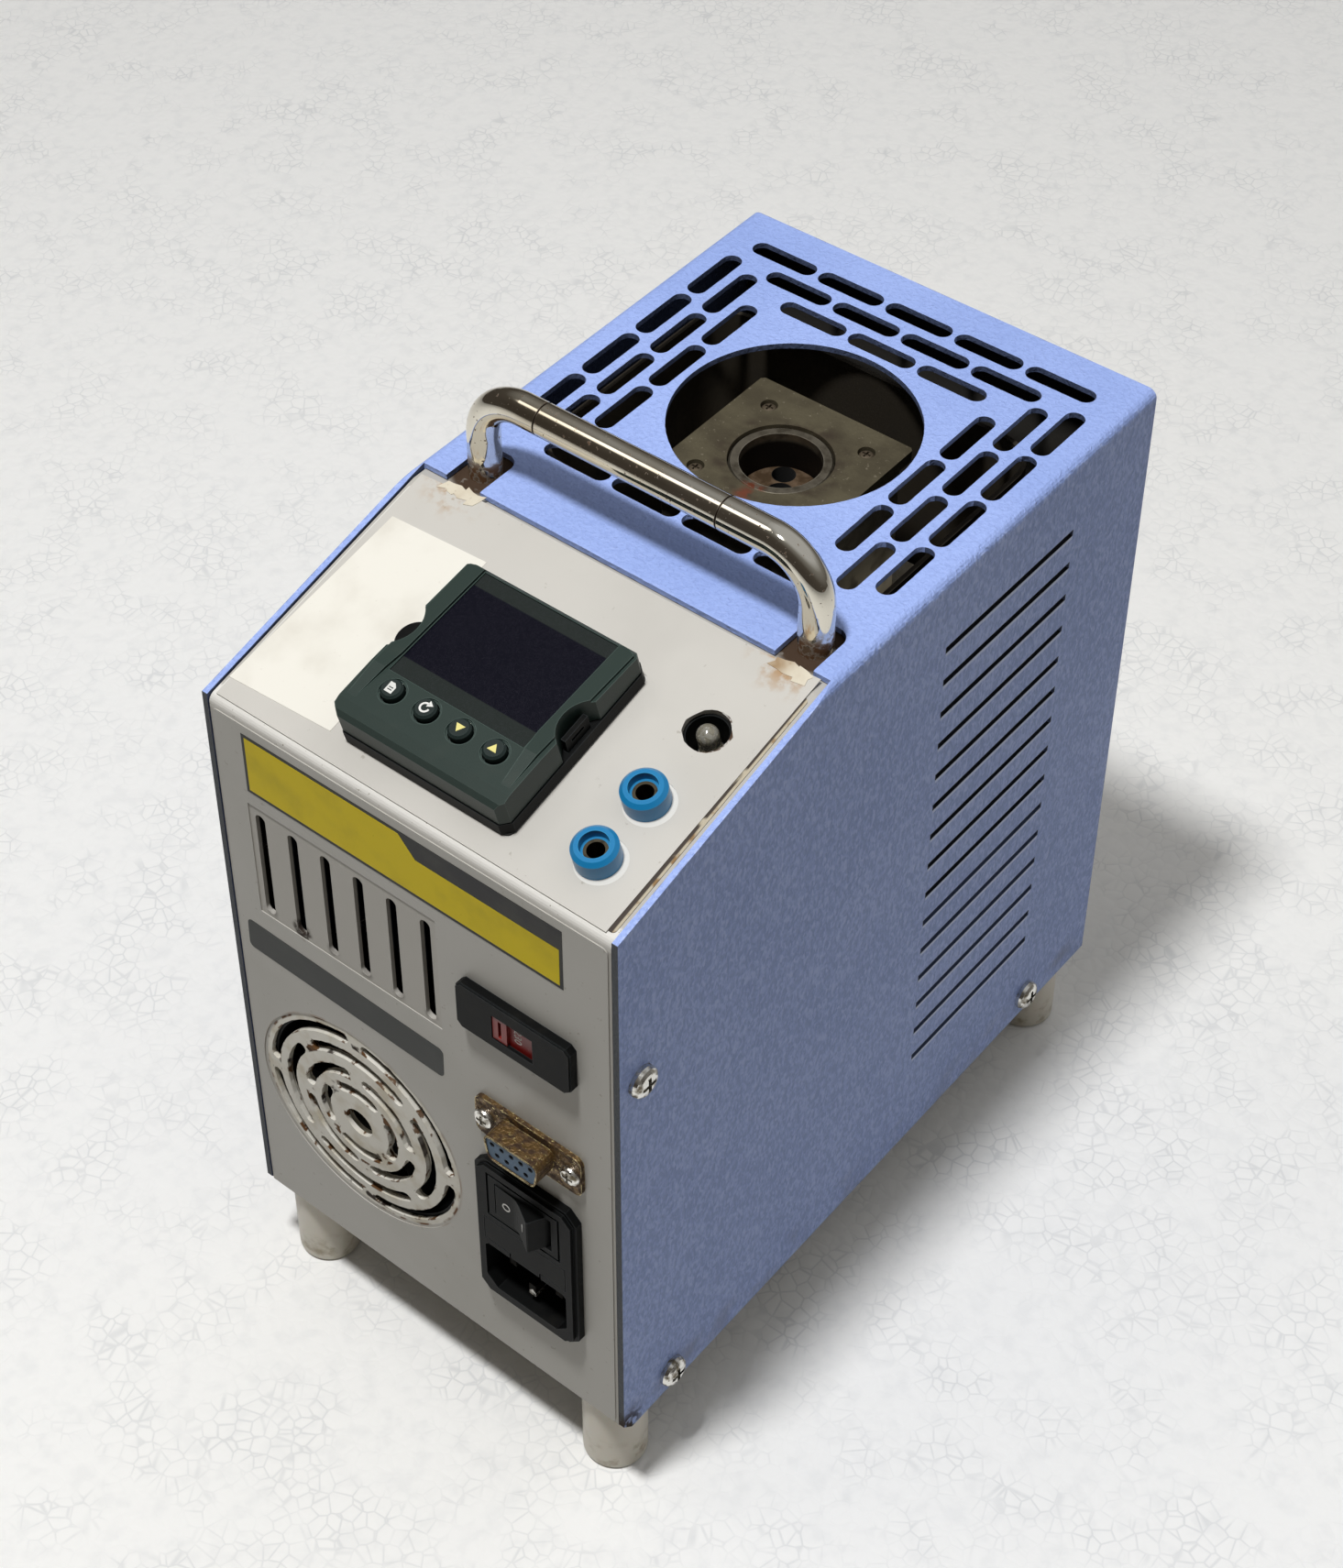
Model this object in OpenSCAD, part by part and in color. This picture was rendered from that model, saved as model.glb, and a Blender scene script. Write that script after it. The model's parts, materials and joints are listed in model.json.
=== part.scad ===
// Dry block heater: a bench temperature calibrator with a heated metal well under a vented cover.
// The front looks towards -Y, +X is to the right of somebody who faces it, and +Z is up.
// The case is drawn with the cover's front edge at y = 0 and its lower edge at z = 0;
// stand() then puts the middle of the whole object's footprint on the origin, feet at z = 0.

/* [Case] */
// Outer width of the cover
case_w = 117; // [113:0.5:124]
// Depth of the cover from its front edge to its rear edge
case_d = 197.2; // [192:0.1:210]
// Height of the cover from its lower edge to the top plate
case_h = 192.3; // [188:0.1:200]
// Height at which the front turns into the control slope
bend_z = 173.7; // [171:0.1:176]
// Depth at which the control slope meets the top plate
slope_y = 72.9; // [70:0.1:76]
// Sheet thickness of the cover
cover_t = 1.5; // [1:0.1:2]
// Outside bend radius of the cover's long edges
cover_bend_r = 2.4; // [2.1:0.1:4]
// Length of the corner cut at the cover's lower front corners
cover_corner = 3; // [1:0.5:5]
// Gap between the cover and the chassis inside it
cover_gap = 0.3; // [0.2:0.05:0.5]
// Sheet thickness of the chassis, rear panel and heat shield
sheet_t = 1.2; // [0.8:0.1:1.5]
// Outside bend radius of the chassis edges
sheet_bend_r = 2.2; // [1.8:0.1:3]
// Height of the chassis floor above the cover's lower edge
floor_lift = 0.5; // [0.3:0.1:2]
// How far the rear panel stands inside the cover's rear edge
rear_inset = 1; // [0.5:0.25:3]
// Width of the chassis and rear panel flanges
flange_w = 13; // [12:0.5:16]
// Thickness of the printed overlays on the front and the slope
overlay_t = 0.25; // [0.15:0.05:0.4]
// Margin of the overlays inside the chassis edges
overlay_margin = 0.8; // [0.5:0.1:2]

/* [Cover openings] */
// Radius of the round opening over the well
top_hole_r = 29.6; // [28:0.1:31]
// Distance of the round opening's centre from the cover's front edge
top_hole_y = 136; // [134:0.5:138]
// Length of one vent slot in the top plate
vent_l = 18.5; // [14:0.5:19]
// Width of one vent slot in the top plate
vent_w = 5; // [3.5:0.1:5.5]
// Pitch of the vent slots along a row
vent_pitch = 19.9; // [19.7:0.1:20.2]
// Distance from the round opening's centre to the innermost row of slots
vent_row_1 = 34.1; // [33.5:0.1:35]
// Distance between two neighbouring rows of slots
vent_row_step = 7.6; // [7:0.1:7.8]
// How far the outermost columns of slots are shifted to the rear
vent_outer_shift = 3.9; // [2:0.1:5]
// Number of slits in each side
slit_count = 15; // [10:1:15]
// Length of one side slit
slit_l = 50.5; // [40:0.5:52]
// Height of one side slit
slit_h = 1.6; // [1:0.1:2.5]
// Pitch of the side slits
slit_pitch = 9.98; // [9.5:0.02:10.2]
// Height of the lowest side slit
slit_z = 31; // [28:0.5:34]
// Distance of the slits' middle from the cover's front edge
slit_y = 139.8; // [136:0.1:142]

/* [Handle] */
// Diameter of the handle bar
handle_bar_d = 8; // [7:0.1:8.4]
// Distance of the handle's left leg from the case's left side
handle_left = 13.4; // [12.8:0.1:14]
// Distance of the handle's right leg from the case's right side
handle_right = 11; // [10.4:0.1:12]
// Distance of the handle from the cover's front edge
handle_y = 80; // [79:0.5:82]
// Height of the bar's centre line above the top plate
handle_rise = 22.7; // [20:0.1:30]
// Radius of the handle's bends, on the centre line
handle_bend_r = 12.5; // [10:0.5:16]
// Reach of one elbow from its leg to the joint with the middle tube, on average
handle_elbow_l = 21.2; // [19.5:0.1:23]
// Sideways offset of the middle tube from the middle of the handle
handle_tube_shift = -3.1; // [-5:0.1:0]
// Width of the notches in the top plate for the handle's legs
handle_notch_w = 10; // [9.6:0.1:11]
// Depth of the notches behind the slope's upper edge
handle_notch_l = 13.5; // [13:0.5:15]

/* [Feet and screws] */
// Height of one foot
foot_h = 24.5; // [20:0.5:30]
// Diameter of one foot
foot_d = 16; // [14:0.5:18]
// Distance of the feet from the case's sides
foot_side = 10.6; // [10.3:0.1:12.5]
// Distance of the front feet from the cover's front edge
foot_front_y = 9.5; // [9.2:0.1:12]
// Distance of the rear feet from the cover's rear edge
foot_rear_y = 9.5; // [9.2:0.1:14]
// Thread diameter of the feet and cover screws
screw_d = 4; // [3:0.5:4]
// Head diameter of the cover screws
screw_head_d = 8; // [7.5:0.1:8.6]
// Head height of the cover screws
screw_head_h = 2.7; // [2:0.1:3]
// Distance of the front flange screws from the cover's front edge
side_screw_y = 7; // [6:0.5:8.5]
// Height of the front flange screws
side_screw_z = 125.5; // [110:0.5:140]
// Distance of the lower front screws from the cover's front edge
low_screw_y = 17.5; // [17:0.5:24]
// Distance of the lower rear screws from the cover's rear edge
low_screw_rear = 29.5; // [24:0.5:40]
// Height of the lower screws
low_screw_z = 7; // [6.5:0.5:8]

/* [Fan] */
// Side of the square fan
fan_size = 60; // [58:0.5:60]
// Depth of the fan
fan_depth = 25; // [20:0.5:26]
// Sideways place of the fan's axis as a share of the case's width
fan_place = -0.183; // [-0.19:0.001:-0.18]
// Height of the fan's axis
fan_z = 54.1; // [50:0.1:58]
// Number of fan blades
blade_count = 7; // [5:1:9]
// Height of the pressed dome in the fan grille
dome_h = 1.1; // [0.6:0.1:1.2]
// Width of the ring slots in the grille
ring_slot_w = 3; // [2.4:0.1:3.2]
// Sheet left between the outer ends of two ring slots
ring_web = 4; // [3:0.2:5]

/* [Front panel] */
// Number of upright slots above the fan
front_slot_count = 6; // [4:1:6]
// Distance between the two end slots as a share of the case's width
front_slot_run = 0.4214; // [0.38:0.0002:0.43]
// Width of one upright slot
front_slot_w = 3; // [2:0.1:3.6]
// Length of one upright slot
front_slot_l = 32.2; // [28:0.2:34]
// Distance of the left upright slot from the case's left side
front_slot_left = 13.75; // [13:0.05:14.5]
// Height of the upright slots' middle
front_slot_z = 127.1; // [126:0.1:129]
// Sideways place of the power inlet as a share of the case's width
column_place = 0.274; // [0.27:0.001:0.278]

/* [Power inlet] */
// Width of the inlet's flange
inlet_w = 30; // [29.4:0.1:31]
// Height of the inlet's flange
inlet_h = 49.2; // [49:0.1:51]
// Height of the inlet's middle
inlet_z = 51.3; // [50:0.1:53]
// How far the flange stands out of the panel
inlet_proud = 3; // [2:0.1:3.5]
// Depth of the inlet's body behind the panel
inlet_depth = 36; // [34:0.5:42]
// Corner cut of the inlet's flange
inlet_corner = 3; // [1.5:0.1:3.5]
// Width of the appliance inlet's cavity
socket_w = 24.4; // [24:0.1:24.8]
// Height of the appliance inlet's cavity
socket_h = 15.6; // [15:0.1:16.4]
// Depth of the appliance inlet's cavity
socket_depth = 16; // [15:0.5:18]
// Height of the cavity's middle below the inlet's middle
socket_drop = 13.3; // [13:0.1:14]
// Height of the fuse drawer's front
drawer_h = 7.8; // [7.4:0.1:8.2]
// Width of the fuse drawer's front
drawer_w = 24; // [23:0.1:24.4]
// How far the fuse drawer pulls out
drawer_travel = 22; // [15:0.5:24]
// Width of the rocker switch's opening
rocker_w = 16.8; // [16.8:0.1:17.2]
// Height of the rocker
rocker_h = 10.8; // [10:0.1:11.2]
// Tilt of the rocker from its middle position to either end
rocker_tilt = 16; // [12:0.5:16.5]

/* [Serial port] */
// How far the serial port sits to the right of the inlet
serial_shift = 0.9; // [0:0.1:1.5]
// Width of the connector's flange
serial_w = 30.8; // [30.6:0.1:31.2]
// Height of the connector's flange
serial_h = 12.5; // [12:0.1:13]
// Height of the connector's middle
serial_z = 90.4; // [90:0.1:92]
// Distance between the connector's two screws
serial_screw_pitch = 24.99; // [24.9:0.01:25.1]
// How far the shell stands out of its flange
serial_shell_l = 5.9; // [5.5:0.1:6.2]

/* [Voltage selector] */
// How far the selector sits to the left of the inlet
selector_shift = 1.1; // [0.5:0.1:1.8]
// Width of the selector's bezel
selector_w = 32.1; // [31:0.1:34]
// Height of the selector's bezel
selector_h = 14.2; // [14:0.1:16]
// Height of the selector's middle
selector_z = 126.8; // [125:0.1:129]
// How far the bezel stands out of the panel
selector_proud = 2.6; // [1.8:0.1:3]
// Width of the selector's window
selector_window_w = 11.5; // [11:0.1:12]
// Height of the selector's window
selector_window_h = 7.6; // [7:0.1:8.4]
// Drop of the window's middle below the selector's middle
selector_window_drop = 0.4; // [0:0.1:0.8]
// Width of the raised part that the screwdriver moves
selector_thumb_w = 4; // [3.6:0.1:4.4]

/* [Controller] */
// Side of the controller's square bezel
bezel_size = 48; // [47:0.5:48]
// Distance up the slope to the controller's middle
controller_v = 31.5; // [30.5:0.5:32.5]
// Side of the sleeve that passes through the panel
sleeve_size = 44.6; // [44:0.1:44.8]
// Depth of the controller behind the panel
sleeve_depth = 86; // [70:1:88]
// Height of the sleeve's rim on the panel
sleeve_rim = 3.4; // [3:0.1:4]
// Front height at the upper edge of the window
bezel_rise_top = 9.5; // [9.2:0.1:10.5]
// Front height at the lower edge of the window
bezel_rise_low = 11.9; // [11.5:0.1:12.6]
// Diameter of one key
key_d = 5.2; // [4.4:0.1:5.6]
// Pitch of the keys
key_pitch = 9.5; // [8.5:0.1:10]
// Travel of one key
key_travel = 0.6; // [0.3:0.05:0.8]

/* [Sockets and lamp] */
// Distance of the two test sockets and the lamp from the case's right side
socket_side = 16.3; // [15.5:0.1:16.7]
// Distance up the slope to the lower test socket
socket_low_v = 14.3; // [12:0.1:15]
// Distance up the slope to the upper test socket
socket_high_v = 30.7; // [29:0.1:32]
// Distance up the slope to the lamp
lamp_v = 51; // [49:0.5:54]
// Collar diameter of a test socket
jack_d = 10.4; // [10:0.1:12]
// Collar height of a test socket
jack_proud = 5.4; // [4:0.1:6]
// Bore of a test socket's contact
jack_bore_d = 4; // [3.9:0.05:4.1]
// Radius of the lamp's opening in the panel
lamp_hole_r = 5.3; // [5:0.1:5.8]

/* [Well] */
// Sideways place of the well's axis
well_x = 0; // [-2:0.1:2]
// Distance of the well's axis from the cover's front edge
well_y = 131.3; // [131:0.1:135]
// Side of the plate on the heated block
plate_size = 43.6; // [42:0.2:44]
// Thickness of the plate on the heated block
plate_t = 3; // [2:0.5:4]
// Drop of the plate's upper face below the top plate of the cover
plate_drop = 7.8; // [7:0.1:14]
// Side of the heated block
block_size = 40; // [38:0.5:41.5]
// Height of the heated block
block_h = 118; // [100:1:122]
// Pitch of the plate's screws
plate_screw_pitch = 28; // [27.5:0.5:29]
// Bore of the well
well_bore_d = 19.6; // [19.5:0.1:21]
// Wall of the well tube
well_wall = 2.4; // [2:0.1:2.7]
// Thickness of the well tube's floor
well_floor = 3; // [2:0.5:5]
// Drop of the insert's upper face below the rim of the well
insert_drop = 9.5; // [6:0.5:15]
// Diameter of the insert's middle bore
bore_mid_d = 6.4; // [5:0.1:6.5]
// Diameter of the insert's second bore
bore_side_d = 5.6; // [4:0.1:5.7]
// Depth of the insert's bores
bore_depth = 90; // [60:1:92]
// Distance of the second bore from the insert's axis
bore_side_r = 6.4; // [6.3:0.1:6.4]

/* [Heat shield] */
// Distance from the inside of the heat shield to the case's side
shield_side = 12.5; // [12:0.5:14.5]
// Bend radius of the heat shield's corners, inside
shield_corner_r = 10; // [6:0.5:12]
// Distance of the shield's rear wall from the well's axis
shield_rear = 36.3; // [35:0.1:40]
// Distance of the shield's front wall from the well's axis
shield_front = 34; // [30:0.5:35]
// Drop of the shield's upper edge below the top plate of the cover
shield_drop = 6; // [4:0.5:12]
// Thickness of the insulating jacket round the heated block
jacket_t = 11; // [6:0.5:12]
// Height of the insulating jacket
jacket_h = 74; // [50:1:90]

/* [Hidden] */

$fn = 48;
eps = 0.01;              // overlap of two shapes that belong to one solid
fit = 0.05;              // radial clearance of a pin that turns or slides in its bore
slack = 0.3;             // clearance between pieces that move past each other
hole_clear = 0.2;        // radial clearance of a screw in a plain hole
seat = 0.1;              // gap at which one piece lies against another

// The footprint: the serial port reaches furthest forward, the cover furthest back
serial_flange_t = 1.2;
front_reach = serial_flange_t + serial_shell_l;
mid_y = (case_d - front_reach) / 2;

// Chassis faces
panel_y = overlay_t;                             // outer face of the front panel
panel_back = panel_y + sheet_t;
chassis_w = case_w - 2 * (cover_t + cover_gap);
floor_top = floor_lift + sheet_t;
flange_top = case_h - cover_t - cover_gap;       // chassis shelf under the top plate
slope_a = atan((case_h - bend_z) / slope_y);
slope_recess = 0.4;                              // slope overlay below the cover's side edges
slope_skin = slope_recess + overlay_t;
rear_face = case_d - rear_inset;
rear_back = rear_face - sheet_t;
shelf_l = 20;                                    // depth of the chassis shelf behind the slope

// Places across the case
fan_x = fan_place * case_w;
column_x = column_place * case_w;
serial_x = column_x + serial_shift;
selector_x = column_x - selector_shift;
front_slot_x = front_slot_left - case_w / 2;
front_slot_pitch = front_slot_run * case_w / (front_slot_count - 1);
socket_column_x = case_w / 2 - socket_side;
foot_x = case_w / 2 - foot_side;
shield_half_w = case_w / 2 - shield_side;
notch_x = [handle_left - case_w / 2, case_w / 2 - handle_right];
handle_span = notch_x[1] - notch_x[0];
handle_tube_l = handle_span - 2 * handle_elbow_l;

screw_r = screw_d / 2;
handle_z = case_h + handle_rise;
foot_y = [foot_front_y, case_d - foot_rear_y];
low_screw_ys = [low_screw_y, case_d - low_screw_rear];

// Well stack, from the rim down
plate_top = case_h - plate_drop;
plate_z = plate_top - plate_t;
block_z = plate_z - block_h;
well_r = well_bore_d / 2;
well_outer_r = well_r + well_wall;
rim_drop = 0.5;                          // rim of the well below the plate's face
rim_z = plate_top - rim_drop;
well_bottom = block_z + 8;
insert_r = well_r - 0.1;
insert_z = well_bottom + well_floor;
insert_top = rim_z - insert_drop;
heater_offset = 14;                      // cartridge heaters stand in the block's corners
pillar_offset = 8;

// ---------------------------------------------------------------- small helpers
function unit(v) = v / norm(v);
function side_of(v) = [-v[1], v[0]];
function miter(a, b, c, t) =
    let (n = side_of(unit(b - a)), m = side_of(unit(c - b))) b + t * (n + m) / (1 + n * m);
function shifted_path(p, t) = [for (i = [0:len(p) - 1])
    i == 0 ? p[0] + t * side_of(unit(p[1] - p[0]))
    : i == len(p) - 1 ? p[i] + t * side_of(unit(p[i] - p[i - 1]))
    : miter(p[i - 1], p[i], p[i + 1], t)];
function corner_arc(a, b, c, r, steps = 5) =
    let (u = unit(a - b), w = unit(c - b), half = acos(u * w) / 2,
         mid = b + unit(u + w) * r / sin(half), p = b + u * r / tan(half), q = b + w * r / tan(half),
         from = atan2(p[1] - mid[1], p[0] - mid[0]), to = atan2(q[1] - mid[1], q[0] - mid[0]),
         turn = to - from > 180 ? to - from - 360 : to - from < -180 ? to - from + 360 : to - from)
    [for (k = [0:steps]) mid + r * [cos(from + turn * k / steps), sin(from + turn * k / steps)]];
// radii holds one bend radius for each inner point of the path; 0 leaves a sharp corner
function rounded_path(p, radii) = [for (i = [0:len(p) - 1])
    each i == 0 || i == len(p) - 1 || radii[i - 1] <= 0 ? [p[i]]
         : corner_arc(p[i - 1], p[i], p[i + 1], radii[i - 1])];
function reversed(p) = [for (i = [len(p) - 1:-1:0]) p[i]];

// Puts the case on its feet, centred on the origin
module stand() { translate([0, -mid_y, foot_h]) children(); }
// Local frame on the overlay of the slope: x, distance up the slope, height above it
module on_slope(x = 0, v = 0, n = 0) {
    translate([0, 0, bend_z]) rotate([slope_a, 0, 0]) translate([x, v, n - slope_recess]) children();
}
// Local frame on the front: x, height, and distance out of the overlay
module on_front(x = 0, z = 0, out = 0) {
    translate([x, -out, z]) rotate([90, 0, 0]) children();
}
module both_sides() { children(); mirror([1, 0, 0]) children(); }
module rounded_rect(w, h, r) {
    union() {
        square([w - 2 * r, h], center = true);
        square([w, h - 2 * r], center = true);
        for (x = [-1, 1], y = [-1, 1]) translate([x * (w / 2 - r), y * (h / 2 - r)]) circle(r);
    }
}
module cut_rect(w, h, c) {
    polygon([[-w / 2 + c, -h / 2], [w / 2 - c, -h / 2], [w / 2, -h / 2 + c], [w / 2, h / 2 - c],
             [w / 2 - c, h / 2], [-w / 2 + c, h / 2], [-w / 2, h / 2 - c], [-w / 2, -h / 2 + c]]);
}
module obround(l, w) {
    union() {
        square([l - w, w], center = true);
        for (x = [-1, 1]) translate([x * (l - w) / 2, 0]) circle(w / 2);
    }
}
// One curved slot between two angles, with round ends
module arc_slot(r_out, w, from, to) {
    mid = r_out - w / 2;
    trim = (w / 2) / mid * 180 / PI;
    a = from + trim;
    b = to - trim;
    steps = round(mid * (b - a) / 240) + 1;
    cap = 4;
    polygon(concat(
        [for (k = [0:steps]) let (t = a + (b - a) * k / steps) r_out * [cos(t), sin(t)]],
        [for (k = [1:cap - 1]) mid * [cos(b), sin(b)] +
            w / 2 * [cos(b + 180 * k / cap), sin(b + 180 * k / cap)]],
        [for (k = [steps:-1:0]) let (t = a + (b - a) * k / steps) (r_out - w) * [cos(t), sin(t)]],
        [for (k = [1:cap - 1]) mid * [cos(a), sin(a)] - w / 2 * [cos(a + 180 * k / cap),
            sin(a + 180 * k / cap)]]));
}
// A pan-head screw: the head stands up from z = 0, the shank goes down
module pan_screw(d, head_d, head_h, l, recess = 0.5) {
    r = head_d / 2;
    difference() {
        union() {
            rotate_extrude() polygon([[0, 0], [r, 0], [r, head_h * 0.35], [r * 0.93, head_h * 0.66],
                                      [r * 0.74, head_h * 0.88], [r * 0.45, head_h], [0, head_h]]);
            translate([0, 0, -l]) cylinder(d = d, h = l + eps);
        }
        for (a = [0, 90]) rotate(a) translate([0, 0, head_h - head_h * recess / 2 + eps])
            cube([head_d * 0.56, head_d * 0.13, head_h * recess + eps], center = true);
    }
}
module hex_nut(d, across, h) {
    difference() {
        cylinder(d = across / cos(30), h = h, $fn = 6);
        translate([0, 0, -eps]) cylinder(d = d + 2 * seat, h = h + 2 * eps);
    }
}

// ---------------------------------------------------------------- case
// Side outline of the folded chassis sheet: floor, front, slope and shelf, outer faces
slope_foot = bend_z - slope_skin / cos(slope_a);
shelf_y = (flange_top - slope_foot) / tan(slope_a);
chassis_path = [[rear_back - slack, floor_lift], [panel_y, floor_lift],
                [panel_y, slope_foot + panel_y * tan(slope_a)],
                [shelf_y, flange_top], [shelf_y + shelf_l, flange_top]];
chassis_radii = [sheet_bend_r, sheet_bend_r, sheet_bend_r];
inner_radii = [for (r = chassis_radii) r - sheet_t];

module chassis_outline() {
    polygon(concat(rounded_path(chassis_path, chassis_radii),
                   reversed(rounded_path(shifted_path(chassis_path, -sheet_t), inner_radii))));
}
// Ring slots of the fan grille, outermost first: outer radius and the angle of the first web
ring_slots = [[29.6, 0, 4], [24, 45, 4], [17.7, 0, 4], [12.4, 45, 4]];
grille_hole_r = 4.2;
dome_r = ring_slots[0][0] + 1.3;

module grille_slots() {
    for (ring = ring_slots) {
        web = ring_web / ring[0] * 180 / PI;
        for (k = [0:ring[2] - 1])
            rotate(ring[1] + k * 360 / ring[2])
                arc_slot(ring[0], ring_slot_w, web / 2, 360 / ring[2] - web / 2);
    }
    circle(grille_hole_r);
}
// Pressed dome with its outer face through the rim at z = 0
module dome() {
    sphere_r = (dome_r * dome_r + dome_h * dome_h) / (2 * dome_h);
    // the dome's bands meet in the middle of the webs between the ring slots
    inner = [for (ring = reversed(ring_slots)) ring[0] - ring_slot_w];
    outer = concat([grille_hole_r], [for (ring = reversed(ring_slots)) ring[0]]);
    radii = concat([0], [for (k = [0:len(inner) - 1]) (inner[k] + outer[k]) / 2], [dome_r]);
    arc = [for (r = radii) [r, dome_h - sphere_r + sqrt(sphere_r * sphere_r - r * r)]];
    rotate_extrude($fn = 96) polygon(concat(arc, reversed([for (p = arc) p - [0, sheet_t]])));
}
module front_slots() {
    for (k = [0:front_slot_count - 1])
        translate([front_slot_x + k * front_slot_pitch, front_slot_z]) rotate(90)
            obround(front_slot_l, front_slot_w);
}
inlet_cut = [inlet_w - 3, inlet_h - 3];
serial_cut = [19.6, 10.6];
selector_cut = [selector_w - 4, selector_h - 2.6];
controller_cut = sleeve_size + 2 * slack;
jack_neck_d = 7.8;
fan_hole_pitch = fan_size - 10;

module chassis() {
    color("#BDB9B2") stand() difference() {
        union() {
            difference() {
                translate([-chassis_w / 2, 0, 0]) rotate([90, 0, 90]) linear_extrude(chassis_w)
                    chassis_outline();
                on_front(fan_x, fan_z, eps - panel_y) translate([0, 0, -sheet_t])
                    cylinder(r = dome_r - 0.3, h = sheet_t + 2 * eps, $fn = 96);
            }
            on_front(fan_x, fan_z, -panel_y) dome();
            both_sides() {
                // upright flange behind the front panel
                translate([chassis_w / 2 - sheet_t, panel_back - eps, floor_top + 1])
                    cube([sheet_t, flange_w - panel_back, slope_foot - floor_top - 6]);
                // long flange on the floor
                translate([chassis_w / 2 - sheet_t, flange_w + 1, floor_top - eps])
                    cube([sheet_t, rear_back - flange_w - 4, flange_w - sheet_t]);
            }
            // welded studs that carry the fan
            for (x = [-1, 1], z = [-1, 1])
                on_front(fan_x + x * fan_hole_pitch / 2, fan_z + z * fan_hole_pitch / 2, -panel_back + eps)
                    translate([0, 0, -fan_depth - 5]) cylinder(d = 3, h = fan_depth + 5);
        }
        on_front(fan_x, fan_z, 3) translate([0, 0, -6]) linear_extrude(8) grille_slots();
        on_front(0, 0, 1) translate([0, 0, -4]) linear_extrude(5) front_slots();
        on_front(column_x, inlet_z, 1) translate([0, 0, -4]) linear_extrude(5)
            square(inlet_cut, center = true);
        on_front(serial_x, serial_z, 1) translate([0, 0, -4]) linear_extrude(5)
            square(serial_cut, center = true);
        on_front(selector_x, selector_z, 1) translate([0, 0, -4]) linear_extrude(5)
            square(selector_cut, center = true);
        for (x = [-1, 1]) on_front(serial_x + x * serial_screw_pitch / 2, serial_z, 1) translate([0, 0, -4])
            cylinder(r = 1.5 + hole_clear, h = 5);
        on_slope(0, controller_v, 0) cube([controller_cut, controller_cut, 8], center = true);
        for (v = [socket_low_v, socket_high_v]) on_slope(socket_column_x, v, -4)
            cylinder(r = jack_neck_d / 2 + hole_clear, h = 5);
        on_slope(socket_column_x, lamp_v, -4) cylinder(r = lamp_hole_r, h = 5);
        for (x = notch_x) translate([x, handle_y, flange_top - 3]) cylinder(r = 2.5 + hole_clear, h = 4);
        for (x = [-foot_x, foot_x], y = foot_y) translate([x, y, 0])
            cylinder(r = screw_r + hole_clear, h = 3);
        both_sides() {
            translate([chassis_w / 2 - 3, side_screw_y, side_screw_z]) rotate([0, 90, 0])
                cylinder(r = screw_r + fit, h = 5);
            for (y = low_screw_ys)
                translate([chassis_w / 2 - 3, y, low_screw_z]) rotate([0, 90, 0])
                    cylinder(r = screw_r + fit, h = 5);
        }
        floor_fixings(0, 3);
        rear_fixings(0, 3);
    }
}
// Holes in the floor for what stands on it
module floor_fixings(z, h) {
    for (p = shield_fixings()) translate([p[0], p[1], z]) cylinder(r = 1.5 + fit, h = h);
    for (y = relay_fixings()) translate([relay_x, y, z]) cylinder(r = 1.5 + fit, h = h);
    for (x = [-1, 1], y = [-1, 1])
        translate([well_x + x * pillar_offset, well_y + y * pillar_offset, z])
            cylinder(r = 1.5 + hole_clear, h = h);
}
rear_screw_x = 30;
rear_lip = 9;
rear_edge = 3;
module rear_fixings(z, h) {
    for (x = [-rear_screw_x, rear_screw_x])
        translate([x, rear_back - rear_lip / 2 - 0.5, z]) cylinder(r = 1.5 + fit, h = h);
}
// Closes the back: a sheet with a lip on every side, the lower one on the chassis floor
module rear_panel() {
    low = floor_top + seat;
    high = case_h - cover_t - cover_gap;
    color("#BDB9B2") stand() difference() {
        union() {
            translate([-chassis_w / 2, rear_back, floor_lift])
                cube([chassis_w, sheet_t, high - floor_lift]);
            translate([-foot_x + 6, rear_back - rear_lip, low])
                cube([2 * foot_x - 12, rear_lip + eps, sheet_t]);
            translate([-chassis_w / 2 + 2, rear_back - rear_edge, high - sheet_t])
                cube([chassis_w - 4, rear_edge + eps, sheet_t]);
            both_sides() translate([chassis_w / 2 - sheet_t, rear_back - 2, floor_lift + flange_w + 2])
                cube([sheet_t, 2 + eps, high - floor_lift - flange_w - 4]);
        }
        rear_fixings(floor_lift, 5);
    }
}
module rear_screws() {
    color("#C8C8C4") stand() for (x = [-rear_screw_x, rear_screw_x])
        translate([x, rear_back - rear_lip / 2 - 0.5, floor_lift]) rotate([180, 0, 0])
            pan_screw(3, 5.5, 1.8, 6);
}
module vent_row(count, x, y) {
    for (k = [0:count - 1]) translate([x + (k - (count - 1) / 2) * vent_pitch, y]) obround(vent_l, vent_w);
}
module vent_column(count, x, y) {
    for (k = [0:count - 1]) translate([x, y + (k - (count - 1) / 2) * vent_pitch]) rotate(90)
        obround(vent_l, vent_w);
}
module top_openings() {
    row = [vent_row_1, vent_row_1 + vent_row_step, vent_row_1 + 2 * vent_row_step];
    circle_at = [0, top_hole_y];
    translate(circle_at) circle(top_hole_r, $fn = 128);
    vent_row(3, 0, top_hole_y + row[0]);
    vent_row(4, 0, top_hole_y + row[1]);
    vent_row(5, 0, top_hole_y + row[2]);
    vent_row(3, 0, top_hole_y - row[0]);
    vent_row(4, 0, top_hole_y - row[1]);
    for (s = [-1, 1]) {
        vent_column(3, s * row[0], top_hole_y);
        vent_column(4, s * row[1], top_hole_y);
        vent_column(4, s * row[2], top_hole_y + vent_outer_shift);
    }
    for (x = notch_x) handle_notch(x);
}
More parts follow.
